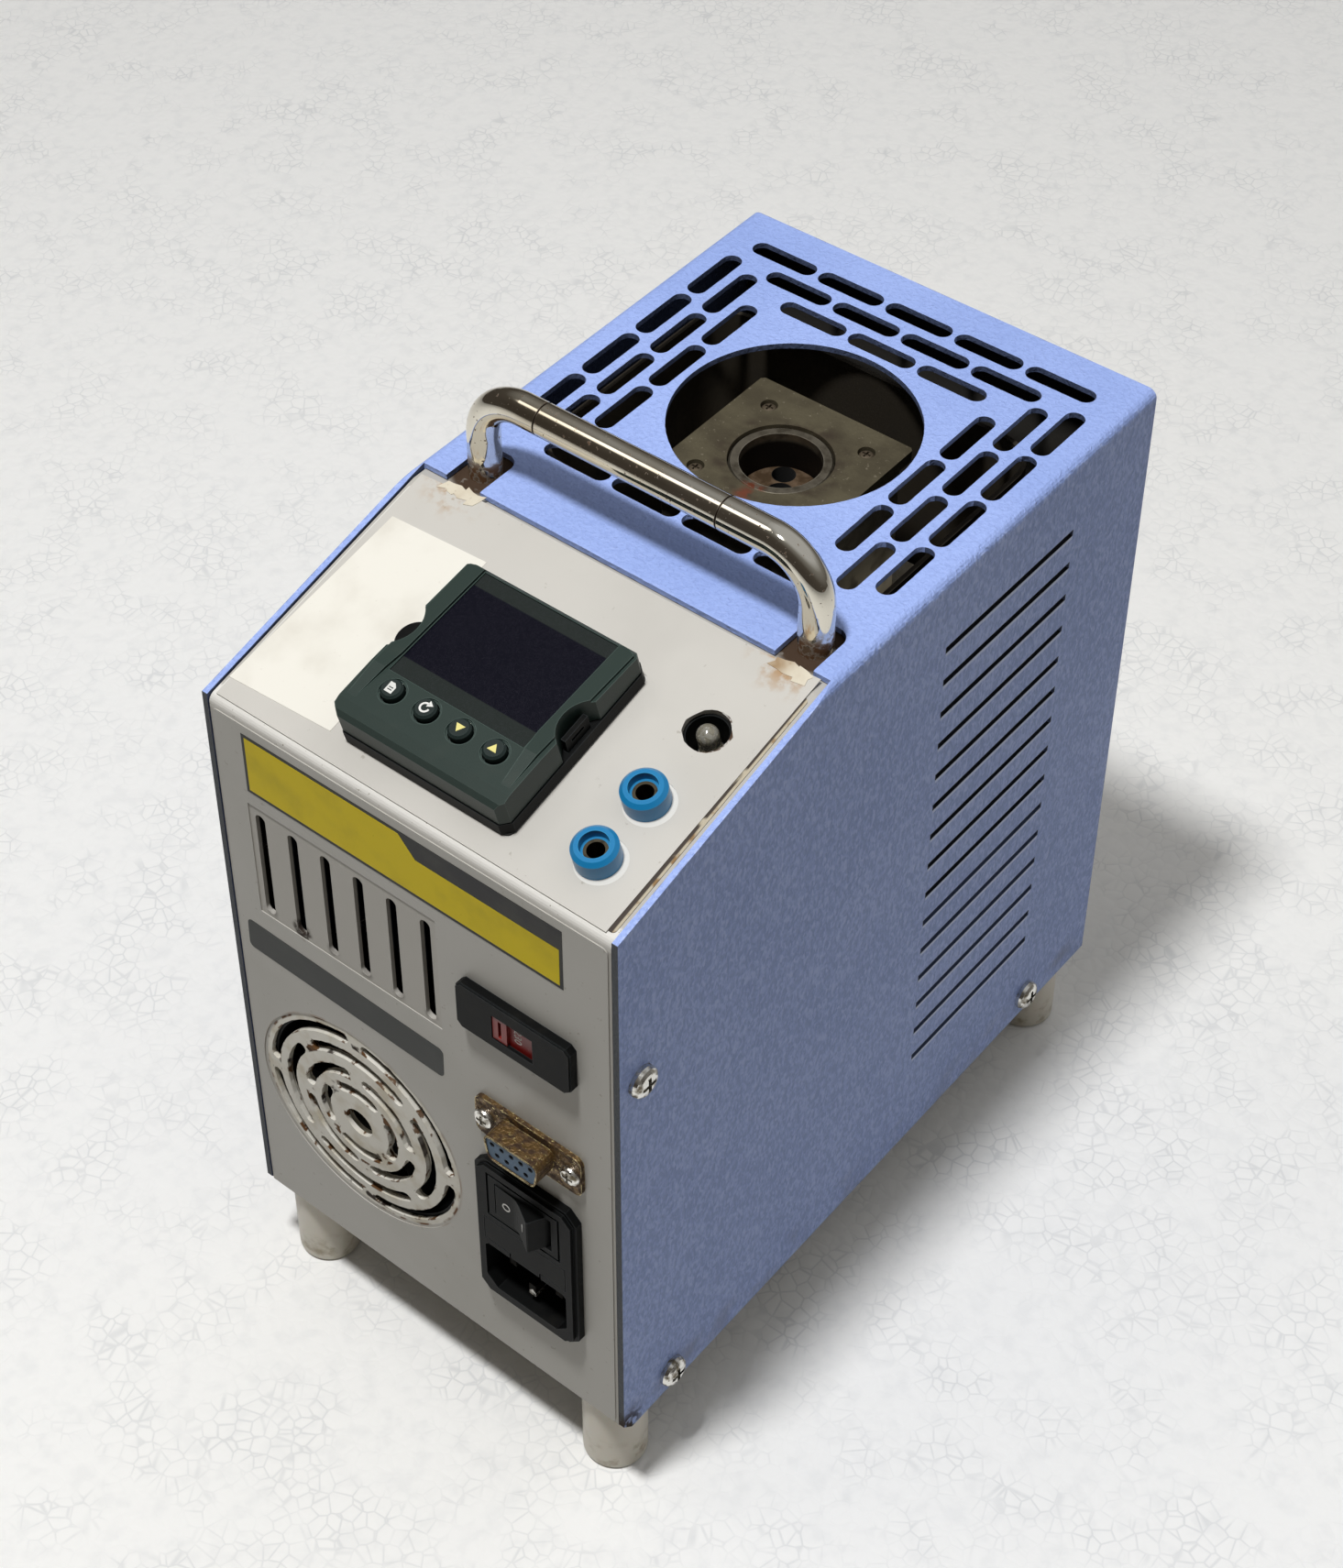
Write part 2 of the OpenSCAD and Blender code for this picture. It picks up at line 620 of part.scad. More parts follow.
// Notch from the slope's upper edge for one leg of the handle
module handle_notch(x) {
    r = 3.5;
    l = handle_notch_l + 2;
    translate([x, slope_y + handle_notch_l - l / 2]) rounded_rect(handle_notch_w, l, r);
    translate([x - handle_notch_w / 2, slope_y - 2]) square([handle_notch_w, r + 2]);
}
// Height of the cover's side edges along the slope
function line_z(y) = bend_z + y * tan(slope_a);
module cover() {
    outer = [[-case_w / 2, 0], [-case_w / 2, case_h], [case_w / 2, case_h], [case_w / 2, 0]];
    inner_r = cover_bend_r - cover_t;
    color("#8FA9E6") stand() difference() {
        translate([0, case_d, 0]) rotate([90, 0, 0]) linear_extrude(case_d)
            polygon(concat(rounded_path(outer, [cover_bend_r, cover_bend_r]),
                           reversed(rounded_path(shifted_path(outer, -cover_t), [inner_r, inner_r]))));
        // the sides follow the slope in front of the top plate
        translate([-case_w, 0, 0]) rotate([90, 0, 90]) linear_extrude(2 * case_w)
            polygon([[-1, line_z(-1)], [slope_y, case_h], [slope_y, case_h + 1], [-1, case_h + 1]]);
        translate([-case_w / 2 + cover_t, -1, case_h - cover_t - 1])
            cube([case_w - 2 * cover_t, slope_y + 0.5, cover_t + 2]);
        translate([-case_w, 0, 0]) rotate([90, 0, 90]) linear_extrude(2 * case_w)
            polygon([[-1, -1], [cover_corner, -1], [cover_corner, 0], [0, cover_corner],
                [-1, cover_corner]]);
        translate([0, 0, case_h - 2 * cover_t]) linear_extrude(3 * cover_t) top_openings();
        for (k = [0:slit_count - 1]) translate([-case_w, slit_y, slit_z + k * slit_pitch])
            rotate([90, 0, 90]) linear_extrude(2 * case_w) obround(slit_l, slit_h);
        both_sides() for (p = cover_screw_places())
            translate([case_w / 2 - 2 * cover_t, p[0], p[1]]) rotate([0, 90, 0])
                cylinder(r = screw_r + hole_clear, h = 4);
    }
}
function cover_screw_places() = [[side_screw_y, side_screw_z], for (y = low_screw_ys) [y, low_screw_z]];
module cover_screws() {
    color("#C9C9C6") stand() both_sides() for (p = cover_screw_places())
        translate([case_w / 2, p[0], p[1]]) rotate([0, 90, 0])
            pan_screw(screw_d, screw_head_d, screw_head_h, 8);
}
overlay_w = chassis_w - 2 * overlay_margin;
overlay_top = slope_foot - 2.5;
grille_cut_r = dome_r + 0.8;
slot_window = [front_slot_pitch * (front_slot_count - 1) + front_slot_w + 3.5, front_slot_l + 3.6];
slot_window_x = front_slot_x + front_slot_pitch * (front_slot_count - 1) / 2;

module front_overlay() {
    low = floor_lift + sheet_bend_r;
    color("#9A968F") stand() translate([0, panel_y, 0]) rotate([90, 0, 0]) linear_extrude(overlay_t)
        difference() {
        translate([0, (low + overlay_top) / 2]) rounded_rect(overlay_w, overlay_top - low, 1.5);
        translate([fan_x - 0.3, fan_z - 0.5]) circle(grille_cut_r, $fn = 96);
        translate([slot_window_x, front_slot_z + 0.6]) square(slot_window, center = true);
        translate([column_x, inlet_z]) square(inlet_cut, center = true);
        translate([selector_x, selector_z]) square(selector_cut, center = true);
        translate([serial_x, serial_z]) square([serial_w - 1, serial_cut[1]], center = true);
    }
}
module slope_overlay() {
    low = sheet_bend_r * tan((90 - slope_a) / 2) + panel_y / cos(slope_a) + 0.2;
    high = (shelf_y - 2) / cos(slope_a);
    color("#CFCBC4") stand() on_slope(0, 0, eps - overlay_t) linear_extrude(overlay_t - eps) difference() {
        translate([0, (low + high) / 2]) rounded_rect(overlay_w, high - low, 1);
        translate([0, controller_v]) square(controller_cut, center = true);
        for (v = [socket_low_v, socket_high_v]) translate([socket_column_x, v])
            circle(jack_neck_d / 2 + hole_clear);
        translate([socket_column_x, lamp_v]) circle(lamp_hole_r);
    }
}

// ---------------------------------------------------------------- feet
foot_recess_r = 4.4;
foot_recess_h = 8;
module feet() {
    color("#D8D2C2") stand() for (x = [-foot_x, foot_x], y = foot_y)
        translate([x, y, floor_lift]) rotate([180, 0, 0]) difference() {
            rotate_extrude() polygon([[0, 0], [foot_d / 2, 0], [foot_d / 2, foot_h + floor_lift - 0.8],
                                      [foot_d / 2 - 0.8, foot_h + floor_lift], [0, foot_h + floor_lift]]);
            translate([0, 0, -1]) cylinder(r = screw_r + hole_clear, h = foot_h + 3);
            translate([0, 0, foot_h + floor_lift - foot_recess_h])
                cylinder(r = foot_recess_r, h = foot_recess_h + 1);
        }
}
module foot_screws() {
    shank = foot_h + floor_lift - foot_recess_h + sheet_t + 4;
    color("#C9C9C6") stand() for (x = [-foot_x, foot_x], y = foot_y)
        translate([x, y, foot_recess_h - foot_h]) rotate([180, 0, 0]) pan_screw(screw_d, 7, 2.6, shank);
}
module foot_nuts() {
    color("#C9C9C6") stand() for (x = [-foot_x, foot_x], y = foot_y)
        translate([x, y, floor_top]) hex_nut(screw_d, 7, 3);
}

// ---------------------------------------------------------------- handle
module handle_tube() {
    r = handle_bar_d / 2;
    color("#D8D6D0") stand() translate([(notch_x[0] + notch_x[1] - handle_tube_l) / 2 +
        handle_tube_shift, handle_y, handle_z])
        rotate([0, 90, 0]) difference() {
            cylinder(r = r, h = handle_tube_l);
            translate([0, 0, -1]) cylinder(r = r - 1.2, h = handle_tube_l + 2);
        }
}
// One elbow with its leg and the straight stretch up to the middle tube
module elbow(straight) {
    r = handle_bar_d / 2;
    b = handle_bend_r;
    leg = handle_z - b - flange_top;
    spigot = 6;
    union() {
        translate([0, 0, -b - leg]) difference() {
            cylinder(r = r, h = leg + eps);
            translate([0, 0, -1]) cylinder(r = 2.5 + fit, h = 11);
        }
        translate([b, 0, -b]) rotate([90, 0, 0]) rotate([0, 0, 90]) rotate_extrude(angle = 90)
            translate([b, 0]) circle(r);
        translate([b - eps, 0, 0]) rotate([0, 90, 0]) cylinder(r = r, h = straight + eps);
        translate([b + straight - eps, 0, 0]) rotate([0, 90, 0]) cylinder(r = r - 1.2 - fit, h = spigot);
    }
}
module handle_elbows() {
    free = handle_span - 2 * handle_bend_r - handle_tube_l;
    color("#D8D6D0") stand() {
        translate([notch_x[0], handle_y, handle_z]) elbow(free / 2 + handle_tube_shift);
        translate([notch_x[1], handle_y, handle_z]) mirror([1, 0, 0]) elbow(free / 2 - handle_tube_shift);
    }
}
module handle_screws() {
    washer_t = 1;
    color("#B9B7B0") stand() for (x = notch_x) translate([x, handle_y, flange_top - sheet_t - washer_t])
        rotate([180, 0, 0]) {
        pan_screw(5, 9.4, 3, 9);
        translate([0, 0, -washer_t]) difference() {
            cylinder(r = 5.5, h = washer_t);
            translate([0, 0, -1]) cylinder(r = 2.4, h = washer_t + 2);
        }
    }
}

// ---------------------------------------------------------------- fan
fan_throat_r = fan_size / 2 - 1.2;
fan_hub_r = 12;
fan_front = panel_back + seat;           // front face of the fan, behind the panel
motor_r = fan_hub_r - 1.5;
motor_l = 6;
module fan_frame() {
    wall = 4;
    color("#26282A") stand() on_front(fan_x, fan_z, -fan_front) translate([0, 0, -fan_depth]) difference() {
        union() {
            difference() {
                linear_extrude(fan_depth) rounded_rect(fan_size, fan_size, 3);
                translate([0, 0, -1]) cylinder(r = fan_throat_r, h = fan_depth + 2, $fn = 96);
                // the frame is open between its two flanges
                difference() {
                    translate([0, 0, wall]) linear_extrude(fan_depth - 2 * wall)
                        square(fan_size + 2, center = true);
                    translate([0, 0, wall - 1]) cylinder(r = fan_throat_r + 1.3, h = fan_depth, $fn = 96);
                    for (x = [-1, 1], z = [-1, 1]) translate([x * fan_hole_pitch / 2,
                        z * fan_hole_pitch / 2, wall - 1])
                        cylinder(r = 3.6, h = fan_depth);
                }
            }
            // motor seat on three spokes at the rear
            cylinder(r = motor_r, h = motor_l);
            for (a = [90, 210, 330]) rotate(a) translate([0, -1.75, 0]) cube([fan_throat_r + 0.5, 3.5, 3]);
        }
        translate([0, 0, 1.5]) cylinder(r = 1.5 + fit, h = motor_l);
        for (x = [-1, 1], z = [-1, 1]) translate([x * fan_hole_pitch / 2, z * fan_hole_pitch / 2, -1])
            cylinder(r = 1.5 + hole_clear + 0.3, h = fan_depth + 2);
    }
}
module fan_nuts() {
    color("#C9C9C6") stand() for (x = [-1, 1], z = [-1, 1])
        on_front(fan_x + x * fan_hole_pitch / 2, fan_z + z * fan_hole_pitch / 2, -fan_front - fan_depth)
            rotate([180, 0, 0]) hex_nut(3, 5.5, 2.4);
}
module fan_rotor() {
    rear_gap = 0.8;
    hub_l = fan_depth - motor_l - 3;
    blade_l = fan_depth - motor_l - 5;
    tip_r = fan_throat_r - 1;
    color("#1E2022") stand() on_front(fan_x, fan_z, -fan_front)
        translate([0, 0, -fan_depth + motor_l + rear_gap]) {
        union() {
            rotate_extrude() polygon([[0, 0], [fan_hub_r, 0], [fan_hub_r, hub_l - 1.5],
                [fan_hub_r - 1.5, hub_l], [0, hub_l]]);
            translate([0, 0, -motor_l + 1.5]) cylinder(r = 1.5, h = motor_l);
            intersection() {
                cylinder(r = tip_r, h = hub_l, $fn = 96);
                for (k = [0:blade_count - 1]) rotate(k * 360 / blade_count)
                    translate([fan_hub_r - 2, 0, blade_l / 2 + 0.5])
                    rotate([40, 0, 0]) translate([0, -0.7, -blade_l * 0.6])
                        cube([tip_r - fan_hub_r + 4, 1.4, blade_l * 1.2]);
            }
        }
    }
}

// ---------------------------------------------------------------- power inlet
socket_z = -socket_drop;                 // from the inlet's middle
rocker_z = 13.9;
drawer_z = 0.4;
rocker_pivot = -1.6;                     // height of the pivot above the front overlay
rocker_open_h = rocker_h + 0.4;
drawer_depth = 26;
fuse_pitch = 11;
fuse_d = 5.2;
fuse_l = 20;
pin_places = [[-7, 1.2], [7, 1.2], [0, -2.8]];   // live, neutral and earth, from the cavity's middle
pin_drops = [3.6, 3.6, 2.2];             // tips below the flange's face; earth meets its contact first
pin_size = [2, 4];
// Cross-section of the appliance cavity, its two lower corners cut
module socket_outline(grow = 0) {
    w = socket_w + 2 * grow;
    h = socket_h + 2 * grow;
    c = 3.2;
    polygon([[-w / 2 + c, -h / 2], [w / 2 - c, -h / 2], [w / 2, -h / 2 + c], [w / 2, h / 2 - 1],
             [w / 2 - 1, h / 2], [-w / 2 + 1, h / 2], [-w / 2, h / 2 - 1], [-w / 2, -h / 2 + c]]);
}
module inlet_body() {
    body_w = inlet_cut[0] - 2 * hole_clear;
    body_h = inlet_cut[1] - 2 * hole_clear;
    bevel = 1;
    color("#1B1D1F") stand() on_front(column_x, inlet_z) difference() {
        union() {
            linear_extrude(inlet_proud - bevel) cut_rect(inlet_w, inlet_h, inlet_corner);
            linear_extrude(inlet_proud) cut_rect(inlet_w - 2 * bevel, inlet_h - 2 * bevel,
                inlet_corner - bevel / 2);
            translate([0, 0, -inlet_depth]) linear_extrude(inlet_depth + eps)
                square([body_w, body_h], center = true);
        }
        translate([0, socket_z, inlet_proud - socket_depth]) linear_extrude(socket_depth + 1)
            socket_outline();
        for (p = pin_places) translate([p[0], socket_z + p[1], -inlet_depth / 2])
            cube([pin_size[0] + 0.02, pin_size[1] + 0.02, inlet_depth + 2], center = true);
        // fuse drawer's shaft and its front recess
        translate([0, drawer_z, inlet_proud - drawer_depth - 1]) linear_extrude(drawer_depth + 2)
            square([drawer_w + 0.4, drawer_h + 0.4], center = true);
        translate([0, drawer_z - drawer_h / 2 - 1, inlet_proud - 2.5]) linear_extrude(3)
            square([9.4, 3], center = true);
        // rocker's shaft, its pivot holes and the step round it
        translate([0, rocker_z, inlet_proud - 13]) linear_extrude(14)
            square([rocker_w, rocker_open_h], center = true);
        translate([0, rocker_z, inlet_proud - 0.5]) linear_extrude(1) difference() {
            square([rocker_w + 5, rocker_open_h + 4.4], center = true);
            square([rocker_w + 3.6, rocker_open_h + 3], center = true);
        }
        translate([0, rocker_z, rocker_pivot]) rotate([90, 0, 0])
            cylinder(r = 1 + fit, h = rocker_h + 3.2, center = true);
    }
}
module inlet_pins() {
    tail = 7;
    color("#C9C6BC") stand() on_front(column_x, inlet_z) for (k = [0:2])
        translate([pin_places[k][0] - pin_size[0] / 2, socket_z + pin_places[k][1] - pin_size[1] / 2,
            -inlet_depth - tail])
            cube([pin_size[0], pin_size[1], inlet_depth + tail + inlet_proud - pin_drops[k]]);
}
rocker_tip = [6.46, 6.89];               // from the pivot, in the middle position
rocker_valley = [1.8, 5.64];             // where a half's flat face ends
rocker_foot = [8, 0.8];
rocker_belly = [7.3, -2.8];
// Rocker in its middle position, seen along its pivot, which is the origin:
// two flat faces that meet in a soft valley
module rocker_outline() {
    right = [[0, rocker_valley[1] - 0.25], [0.8, rocker_valley[1] - 0.2], rocker_valley,
             [rocker_tip[0] - 0.2, rocker_tip[1] - 0.06], [rocker_tip[0] + 0.12, rocker_tip[1] - 0.28],
             rocker_foot, rocker_belly, [3, -5.5]];
    polygon(concat(right, reversed([for (k = [1:len(right) - 1]) [-right[k][0], right[k][1]]])));
}
module power_rocker() {
    color("#202224") stand() on_front(column_x, inlet_z + rocker_z, rocker_pivot)
        rotate([0, -rocker_tilt, 0]) rotate([90, 0, 0]) {
        translate([0, 0, -rocker_h / 2]) linear_extrude(rocker_h) rocker_outline();
        cylinder(r = 1, h = rocker_h + 2.4, center = true);
    }
}
module fuse_drawer() {
    shell_w = drawer_w - 1;
    shell_h = drawer_h - 0.4;
    color("#17191B") stand() on_front(column_x, inlet_z + drawer_z) difference() {
        union() {
            translate([0, 0, inlet_proud - 1.6]) linear_extrude(1.6)
                square([drawer_w, drawer_h], center = true);
            translate([0, 0, inlet_proud - drawer_depth]) linear_extrude(drawer_depth - 1)
                square([shell_w, shell_h], center = true);
            translate([0, -drawer_h / 2 - 0.8, inlet_proud - 1.6]) linear_extrude(1.6)
                square([8.5, 1.7], center = true);
        }
        for (x = [-1, 1]) translate([x * fuse_pitch / 2, 0.8, inlet_proud - drawer_depth + 1.5])
            linear_extrude(fuse_l + 1)
            union() {
                circle(d = fuse_d + 0.4);
                translate([-fuse_d / 2 - 0.2, 0]) square([fuse_d + 0.4, drawer_h]);
            }
    }
}
module fuses() {
    cap = 4;
    color("#CFCFC8") stand() on_front(column_x, inlet_z + drawer_z) for (x = [-1, 1])
        translate([x * fuse_pitch / 2, 0.8, inlet_proud - drawer_depth + 2]) union() {
            cylinder(d = fuse_d, h = cap);
            translate([0, 0, fuse_l - cap]) cylinder(d = fuse_d, h = cap);
            cylinder(d = fuse_d - 0.4, h = fuse_l);
        }
}

// ---------------------------------------------------------------- serial port
// D-shaped outline, the wide side up
module d_outline(w, h, r = 2) {
    lean = h * tan(10);
    polygon([for (c = [[[-w / 2, h / 2], [w / 2, h / 2], [w / 2 - lean, -h / 2]],
                       [[w / 2, h / 2], [w / 2 - lean, -h / 2], [-w / 2 + lean, -h / 2]],
                       [[w / 2 - lean, -h / 2], [-w / 2 + lean, -h / 2], [-w / 2, h / 2]],
                       [[-w / 2 + lean, -h / 2], [-w / 2, h / 2], [w / 2, h / 2]]])
             each corner_arc(c[0], c[1], c[2], r)]);
}
shell_w = 16.3;
shell_h = 7.9;
shell_t = 0.5;
module serial_shell() {
    color("#8A6A3C") stand() on_front(serial_x, serial_z) difference() {
        union() {
            linear_extrude(serial_flange_t) rounded_rect(serial_w, serial_h, 2.2);
            linear_extrude(front_reach) d_outline(shell_w, shell_h);
        }
        translate([0, 0, -1]) linear_extrude(front_reach + 2)
            d_outline(shell_w - 2 * shell_t, shell_h - 2 * shell_t, 1.6);
        for (x = [-1, 1]) translate([x * serial_screw_pitch / 2, 0, -1]) cylinder(r = 1.5 + fit, h = 4);
    }
}
contact_pitch = 2.77;
contact_row = 1.42;
module serial_insert() {
    inner_w = shell_w - 2 * shell_t - 2 * fit;
    inner_h = shell_h - 2 * shell_t - 2 * fit;
    color("#4F6E8C") stand() on_front(serial_x, serial_z) difference() {
        union() {
            translate([0, 0, -1]) linear_extrude(front_reach + 0.7) d_outline(inner_w, inner_h, 1.5);
            translate([0, 0, -9]) linear_extrude(8.2)
                square([serial_cut[0] - 0.6, serial_cut[1] - 0.6], center = true);
        }
        for (row = [[5, 1], [4, -1]], k = [0:row[0] - 1])
            translate([(k - (row[0] - 1) / 2) * contact_pitch, row[1] * contact_row, front_reach - 6])
                cylinder(d = 1.1, h = 7, $fn = 24);
    }
}
module serial_screws() {
    color("#D6D2C4") stand() for (x = [-1, 1])
        on_front(serial_x + x * serial_screw_pitch / 2, serial_z, serial_flange_t)
        pan_screw(3, 5.3, 1.5, 7);
}
module serial_nuts() {
    color("#C9C9C6") stand() for (x = [-1, 1])
        on_front(serial_x + x * serial_screw_pitch / 2, serial_z, -panel_back)
        rotate([180, 0, 0]) hex_nut(3, 5, 2.4);
}

// ---------------------------------------------------------------- voltage selector
selector_travel = selector_window_w - selector_thumb_w - 0.2;
selector_face_t = 1;                     // the bezel's face in front of the slider
track_t = selector_proud - selector_face_t;
track_h = selector_window_h + 1.6;
track_w = selector_window_w + 2 * selector_travel + 0.6;
module at_selector_window(out) { on_front(selector_x, selector_z - selector_window_drop, out) children(); }
module selector_body() {
    bevel = 0.5;
    corner = 1.3;
    depth = 13;
    wall = 2;
    core = [selector_cut[0] - 0.4, selector_cut[1] - 0.4];
    color("#1C1D1E") stand() difference() {
        on_front(selector_x, selector_z) union() {
            linear_extrude(selector_proud - bevel) cut_rect(selector_w, selector_h, corner);
            translate([0, 0, selector_proud - bevel - eps]) linear_extrude(bevel + eps)
                cut_rect(selector_w - bevel, selector_h - bevel, corner);
            translate([0, 0, -depth]) linear_extrude(depth + eps) square(core, center = true);
        }
        at_selector_window(-eps) linear_extrude(selector_proud + 1)
            square([selector_window_w, selector_window_h], center = true);
        at_selector_window(0) linear_extrude(track_t + 0.1) square([track_w, track_h], center = true);
        on_front(selector_x, selector_z, -depth - 1) linear_extrude(depth - 4)
            square([core[0] - 2 * wall, core[1] - 2 * wall], center = true);
    }
}
// Slide with a raised thumb; at rest the thumb is at the left end of the window
module selector_slider() {
    thumb_x = -selector_window_w / 2 + selector_thumb_w / 2 + 0.1;
    plate_w = selector_thumb_w + 2 * selector_travel + 0.4;
    plate_t = track_t - 0.4;
    groove = [0.9, selector_window_h - 2.4];
    color("#A3231B") stand() at_selector_window(0.1) translate([thumb_x, 0, 0]) difference() {
        union() {
            linear_extrude(plate_t) square([plate_w, track_h - 0.4], center = true);
            linear_extrude(plate_t + 1) square([selector_thumb_w, selector_window_h - 0.3], center = true);
        }
        translate([0, 0, plate_t]) linear_extrude(2) square(groove, center = true);
    }
}

// ---------------------------------------------------------------- controller
gasket_t = 0.6;
rim_top = gasket_t + sleeve_rim;
joint_gap = 0.3;                         // shadow line between sleeve rim and bezel
bezel_back = rim_top + joint_gap;
half = bezel_size / 2;
bezel_half = half - 0.3;
window_low = -9.6;
window_high = 22.5;
window_half_w = 18.7;
key_v = -13.4;
key_out = 1.5;                           // how far a key stands out of the bezel
key_flange_r = key_d / 2 + 0.8;
chin_rise = bezel_rise_low + 0.1;
shell_wall = 2;                          // wall of the hollow bezel
notch_r = 8;
notch_reach = 3.2;                       // how deep the finger notch cuts into the bezel's side
notch_v = 1.7;
ear_h = 7.6;
// Height of the bezel's front at a distance from its middle
function front_rise(v) = bezel_rise_low +
    (bezel_rise_top - bezel_rise_low) * (v - window_low) / (window_high - window_low);
bezel_profile = [[-bezel_half, bezel_back], [-bezel_half, chin_rise - 2.2],
    [-bezel_half + 1, chin_rise - 0.8],
                 [-bezel_half + 3.6, chin_rise], [window_low, bezel_rise_low],
                     [window_high, bezel_rise_top],
                 [bezel_half - 0.3, bezel_rise_top - 1], [bezel_half, bezel_rise_top - 1.8],
                     [bezel_half, bezel_back]];
module side_notch() {
    translate([bezel_half - notch_reach + notch_r, notch_v, 0])
        cylinder(r = notch_r, h = 40, center = true);
}
module controller_sleeve() {
    wall = 1.6;
    color("#141617") stand() on_slope(0, controller_v) difference() {
        union() {
            translate([0, 0, gasket_t]) linear_extrude(sleeve_rim) cut_rect(bezel_size, bezel_size, 2.2);
            translate([0, 0, -sleeve_depth]) linear_extrude(sleeve_depth + gasket_t + eps)
                rounded_rect(sleeve_size, sleeve_size, 1);
            // latching ears beside the bezel; the left one has sprung out
            translate([half - 2.1, notch_v - ear_h / 2, rim_top - eps]) cube([1.2, ear_h, 4.2]);
            translate([0, notch_v, rim_top - 0.8]) linear_extrude(3.2) intersection() {
                translate([-half + 2, 0]) circle(5);
                translate([-half - 8, -6]) square([9.4, 12]);
            }
        }
        translate([0, 0, -sleeve_depth + wall]) linear_extrude(sleeve_depth + rim_top)
            rounded_rect(sleeve_size - 2 * wall, sleeve_size - 2 * wall, 1);
        translate([half - 1.5, notch_v, rim_top + 2.4]) cube([3, 4, 0.8], center = true);
    }
}
module controller_gasket() {
    color("#2A2A2A") stand() on_slope(0, controller_v) linear_extrude(gasket_t) difference() {
        rounded_rect(bezel_size - 1, bezel_size - 1, 1.5);
        square(sleeve_size + 0.2, center = true);
    }
}
// Two clamps that pull the sleeve's rim down on the panel
module controller_clips() {
    depth = 14;
    top = -overlay_t - sheet_t - seat;
    color("#2B2D2F") stand() on_slope(0, controller_v) both_sides()
        translate([sleeve_size / 2 + seat, -9, top - depth]) difference() {
            cube([5, 18, depth]);
            translate([1.6, 2, -1]) cube([5, 14, depth - 2]);
        }
}
module controller_bezel() {
    cavity = bezel_half - shell_wall;
    color("#3A4A48") stand() on_slope(0, controller_v) difference() {
        union() {
            intersection() {
                translate([-bezel_half, 0, 0]) rotate([90, 0, 90]) linear_extrude(2 * bezel_half)
                    polygon(bezel_profile);
                translate([0, 0, bezel_back - 1]) linear_extrude(12)
                    cut_rect(2 * bezel_half, 2 * bezel_half, 1.8);
            }
            cheeks();
        }
        // hollow from behind
        translate([0, 0, bezel_back - 1]) linear_extrude(bezel_rise_top - shell_wall - bezel_back - 0.4)
            square([2 * cavity - 4.2, 2 * cavity], center = true);
        translate([-mat_half - slack, key_v - 4.5 - slack, bezel_back - 1])
            cube([2 * (mat_half + slack), 9 + 2 * slack, mat_top + seat - bezel_back + 1]);
        both_sides() side_notch();
        // window seat and its opening
        window_plane() translate([0, 0, -window_t - seat]) linear_extrude(3)
            square([2 * window_half_w, window_l], center = true);
        window_plane() translate([0, 0, -8]) linear_extrude(9)
            square([2 * window_half_w - 3, window_l - 3], center = true);
        for (k = [0:3]) translate([key_x(k), key_v, 0]) {
            translate([0, 0, bezel_back]) cylinder(r = key_d / 2 + slack, h = 12);
            translate([0, 0, bezel_back]) cylinder(r = key_flange_r + slack, h = key_ceiling - bezel_back);
            translate([0, 0, bezel_rise_low - 0.4]) cylinder(r = key_d / 2 + 0.7, h = 4);
        }
    }
}
// Raised cheeks on both sides of the window
module cheeks() {
    rise = 0.8;
    both_sides() intersection() {
        translate([-bezel_half, 0, 0]) rotate([90, 0, 90]) linear_extrude(2 * bezel_half)
            polygon([[-bezel_half + 2, chin_rise - 2], [-bezel_half + 5, chin_rise],
                [window_low, bezel_rise_low + rise],
                     [window_high, bezel_rise_top + rise], [bezel_half - 0.6, bezel_rise_top - 1],
                         [bezel_half - 2, bezel_rise_top - 3]]);
        linear_extrude(20) polygon([[window_half_w + 0.2, bezel_half],
            [window_half_w + 0.2, window_low + 5],
                                    [window_half_w + 2, -bezel_half + 1],
                                        [bezel_half - 1.2, -bezel_half + 2.4],
                                    [bezel_half - 0.6, bezel_half - 2]]);
    }
}
function key_x(k) = (k - 1.5) * key_pitch;
key_ceiling = bezel_rise_low - 2.2;      // underside of the bezel above the keys' flanges
window_t = 1.5;
window_l = norm([window_high - window_low, bezel_rise_top - bezel_rise_low]) - 0.4;
// Frame on the sloping front face, at the middle of the window
module window_plane() {
    mid = (window_low + window_high) / 2;
    translate([0, mid, front_rise(mid)])
        rotate([-atan((bezel_rise_low - bezel_rise_top) / (window_high - window_low)), 0, 0]) children();
}
module controller_window() {
    color("#14141F") stand() on_slope(0, controller_v) window_plane() translate([0, 0, -window_t])
        linear_extrude(window_t - 0.2) square([2 * window_half_w - 0.2, window_l - 0.2], center = true);
}
mat_top = key_ceiling - 1 - seat - key_travel - seat;
mat_half = 19;
module keypad_mat() {
    color("#3B3B3B") stand() on_slope(0, controller_v) {
        translate([-mat_half, key_v - 4.5, mat_top - 1.2]) cube([2 * mat_half, 9, 1.2]);
        for (x = [-mat_half, mat_half - 1.4])
            translate([x, key_v - 4.5, rim_top + seat])
                cube([1.4, 9, mat_top - 1.2 - rim_top - seat + eps]);
    }
}
module controller_board() {
    inner = sleeve_size - 2 * 1.6 - 1;
    color("#2E6B3E") stand() on_slope(0, controller_v) {
        translate([-inner / 2, -inner / 2, rim_top - 1.6]) cube([inner, inner, 1.6 + seat]);
        for (x = [-12, 12]) translate([x - 0.8, -inner / 2, -sleeve_depth + 1.6 + seat])
            cube([1.6, inner, sleeve_depth + rim_top - 1.6 - 1.6 - seat + eps]);
    }
}
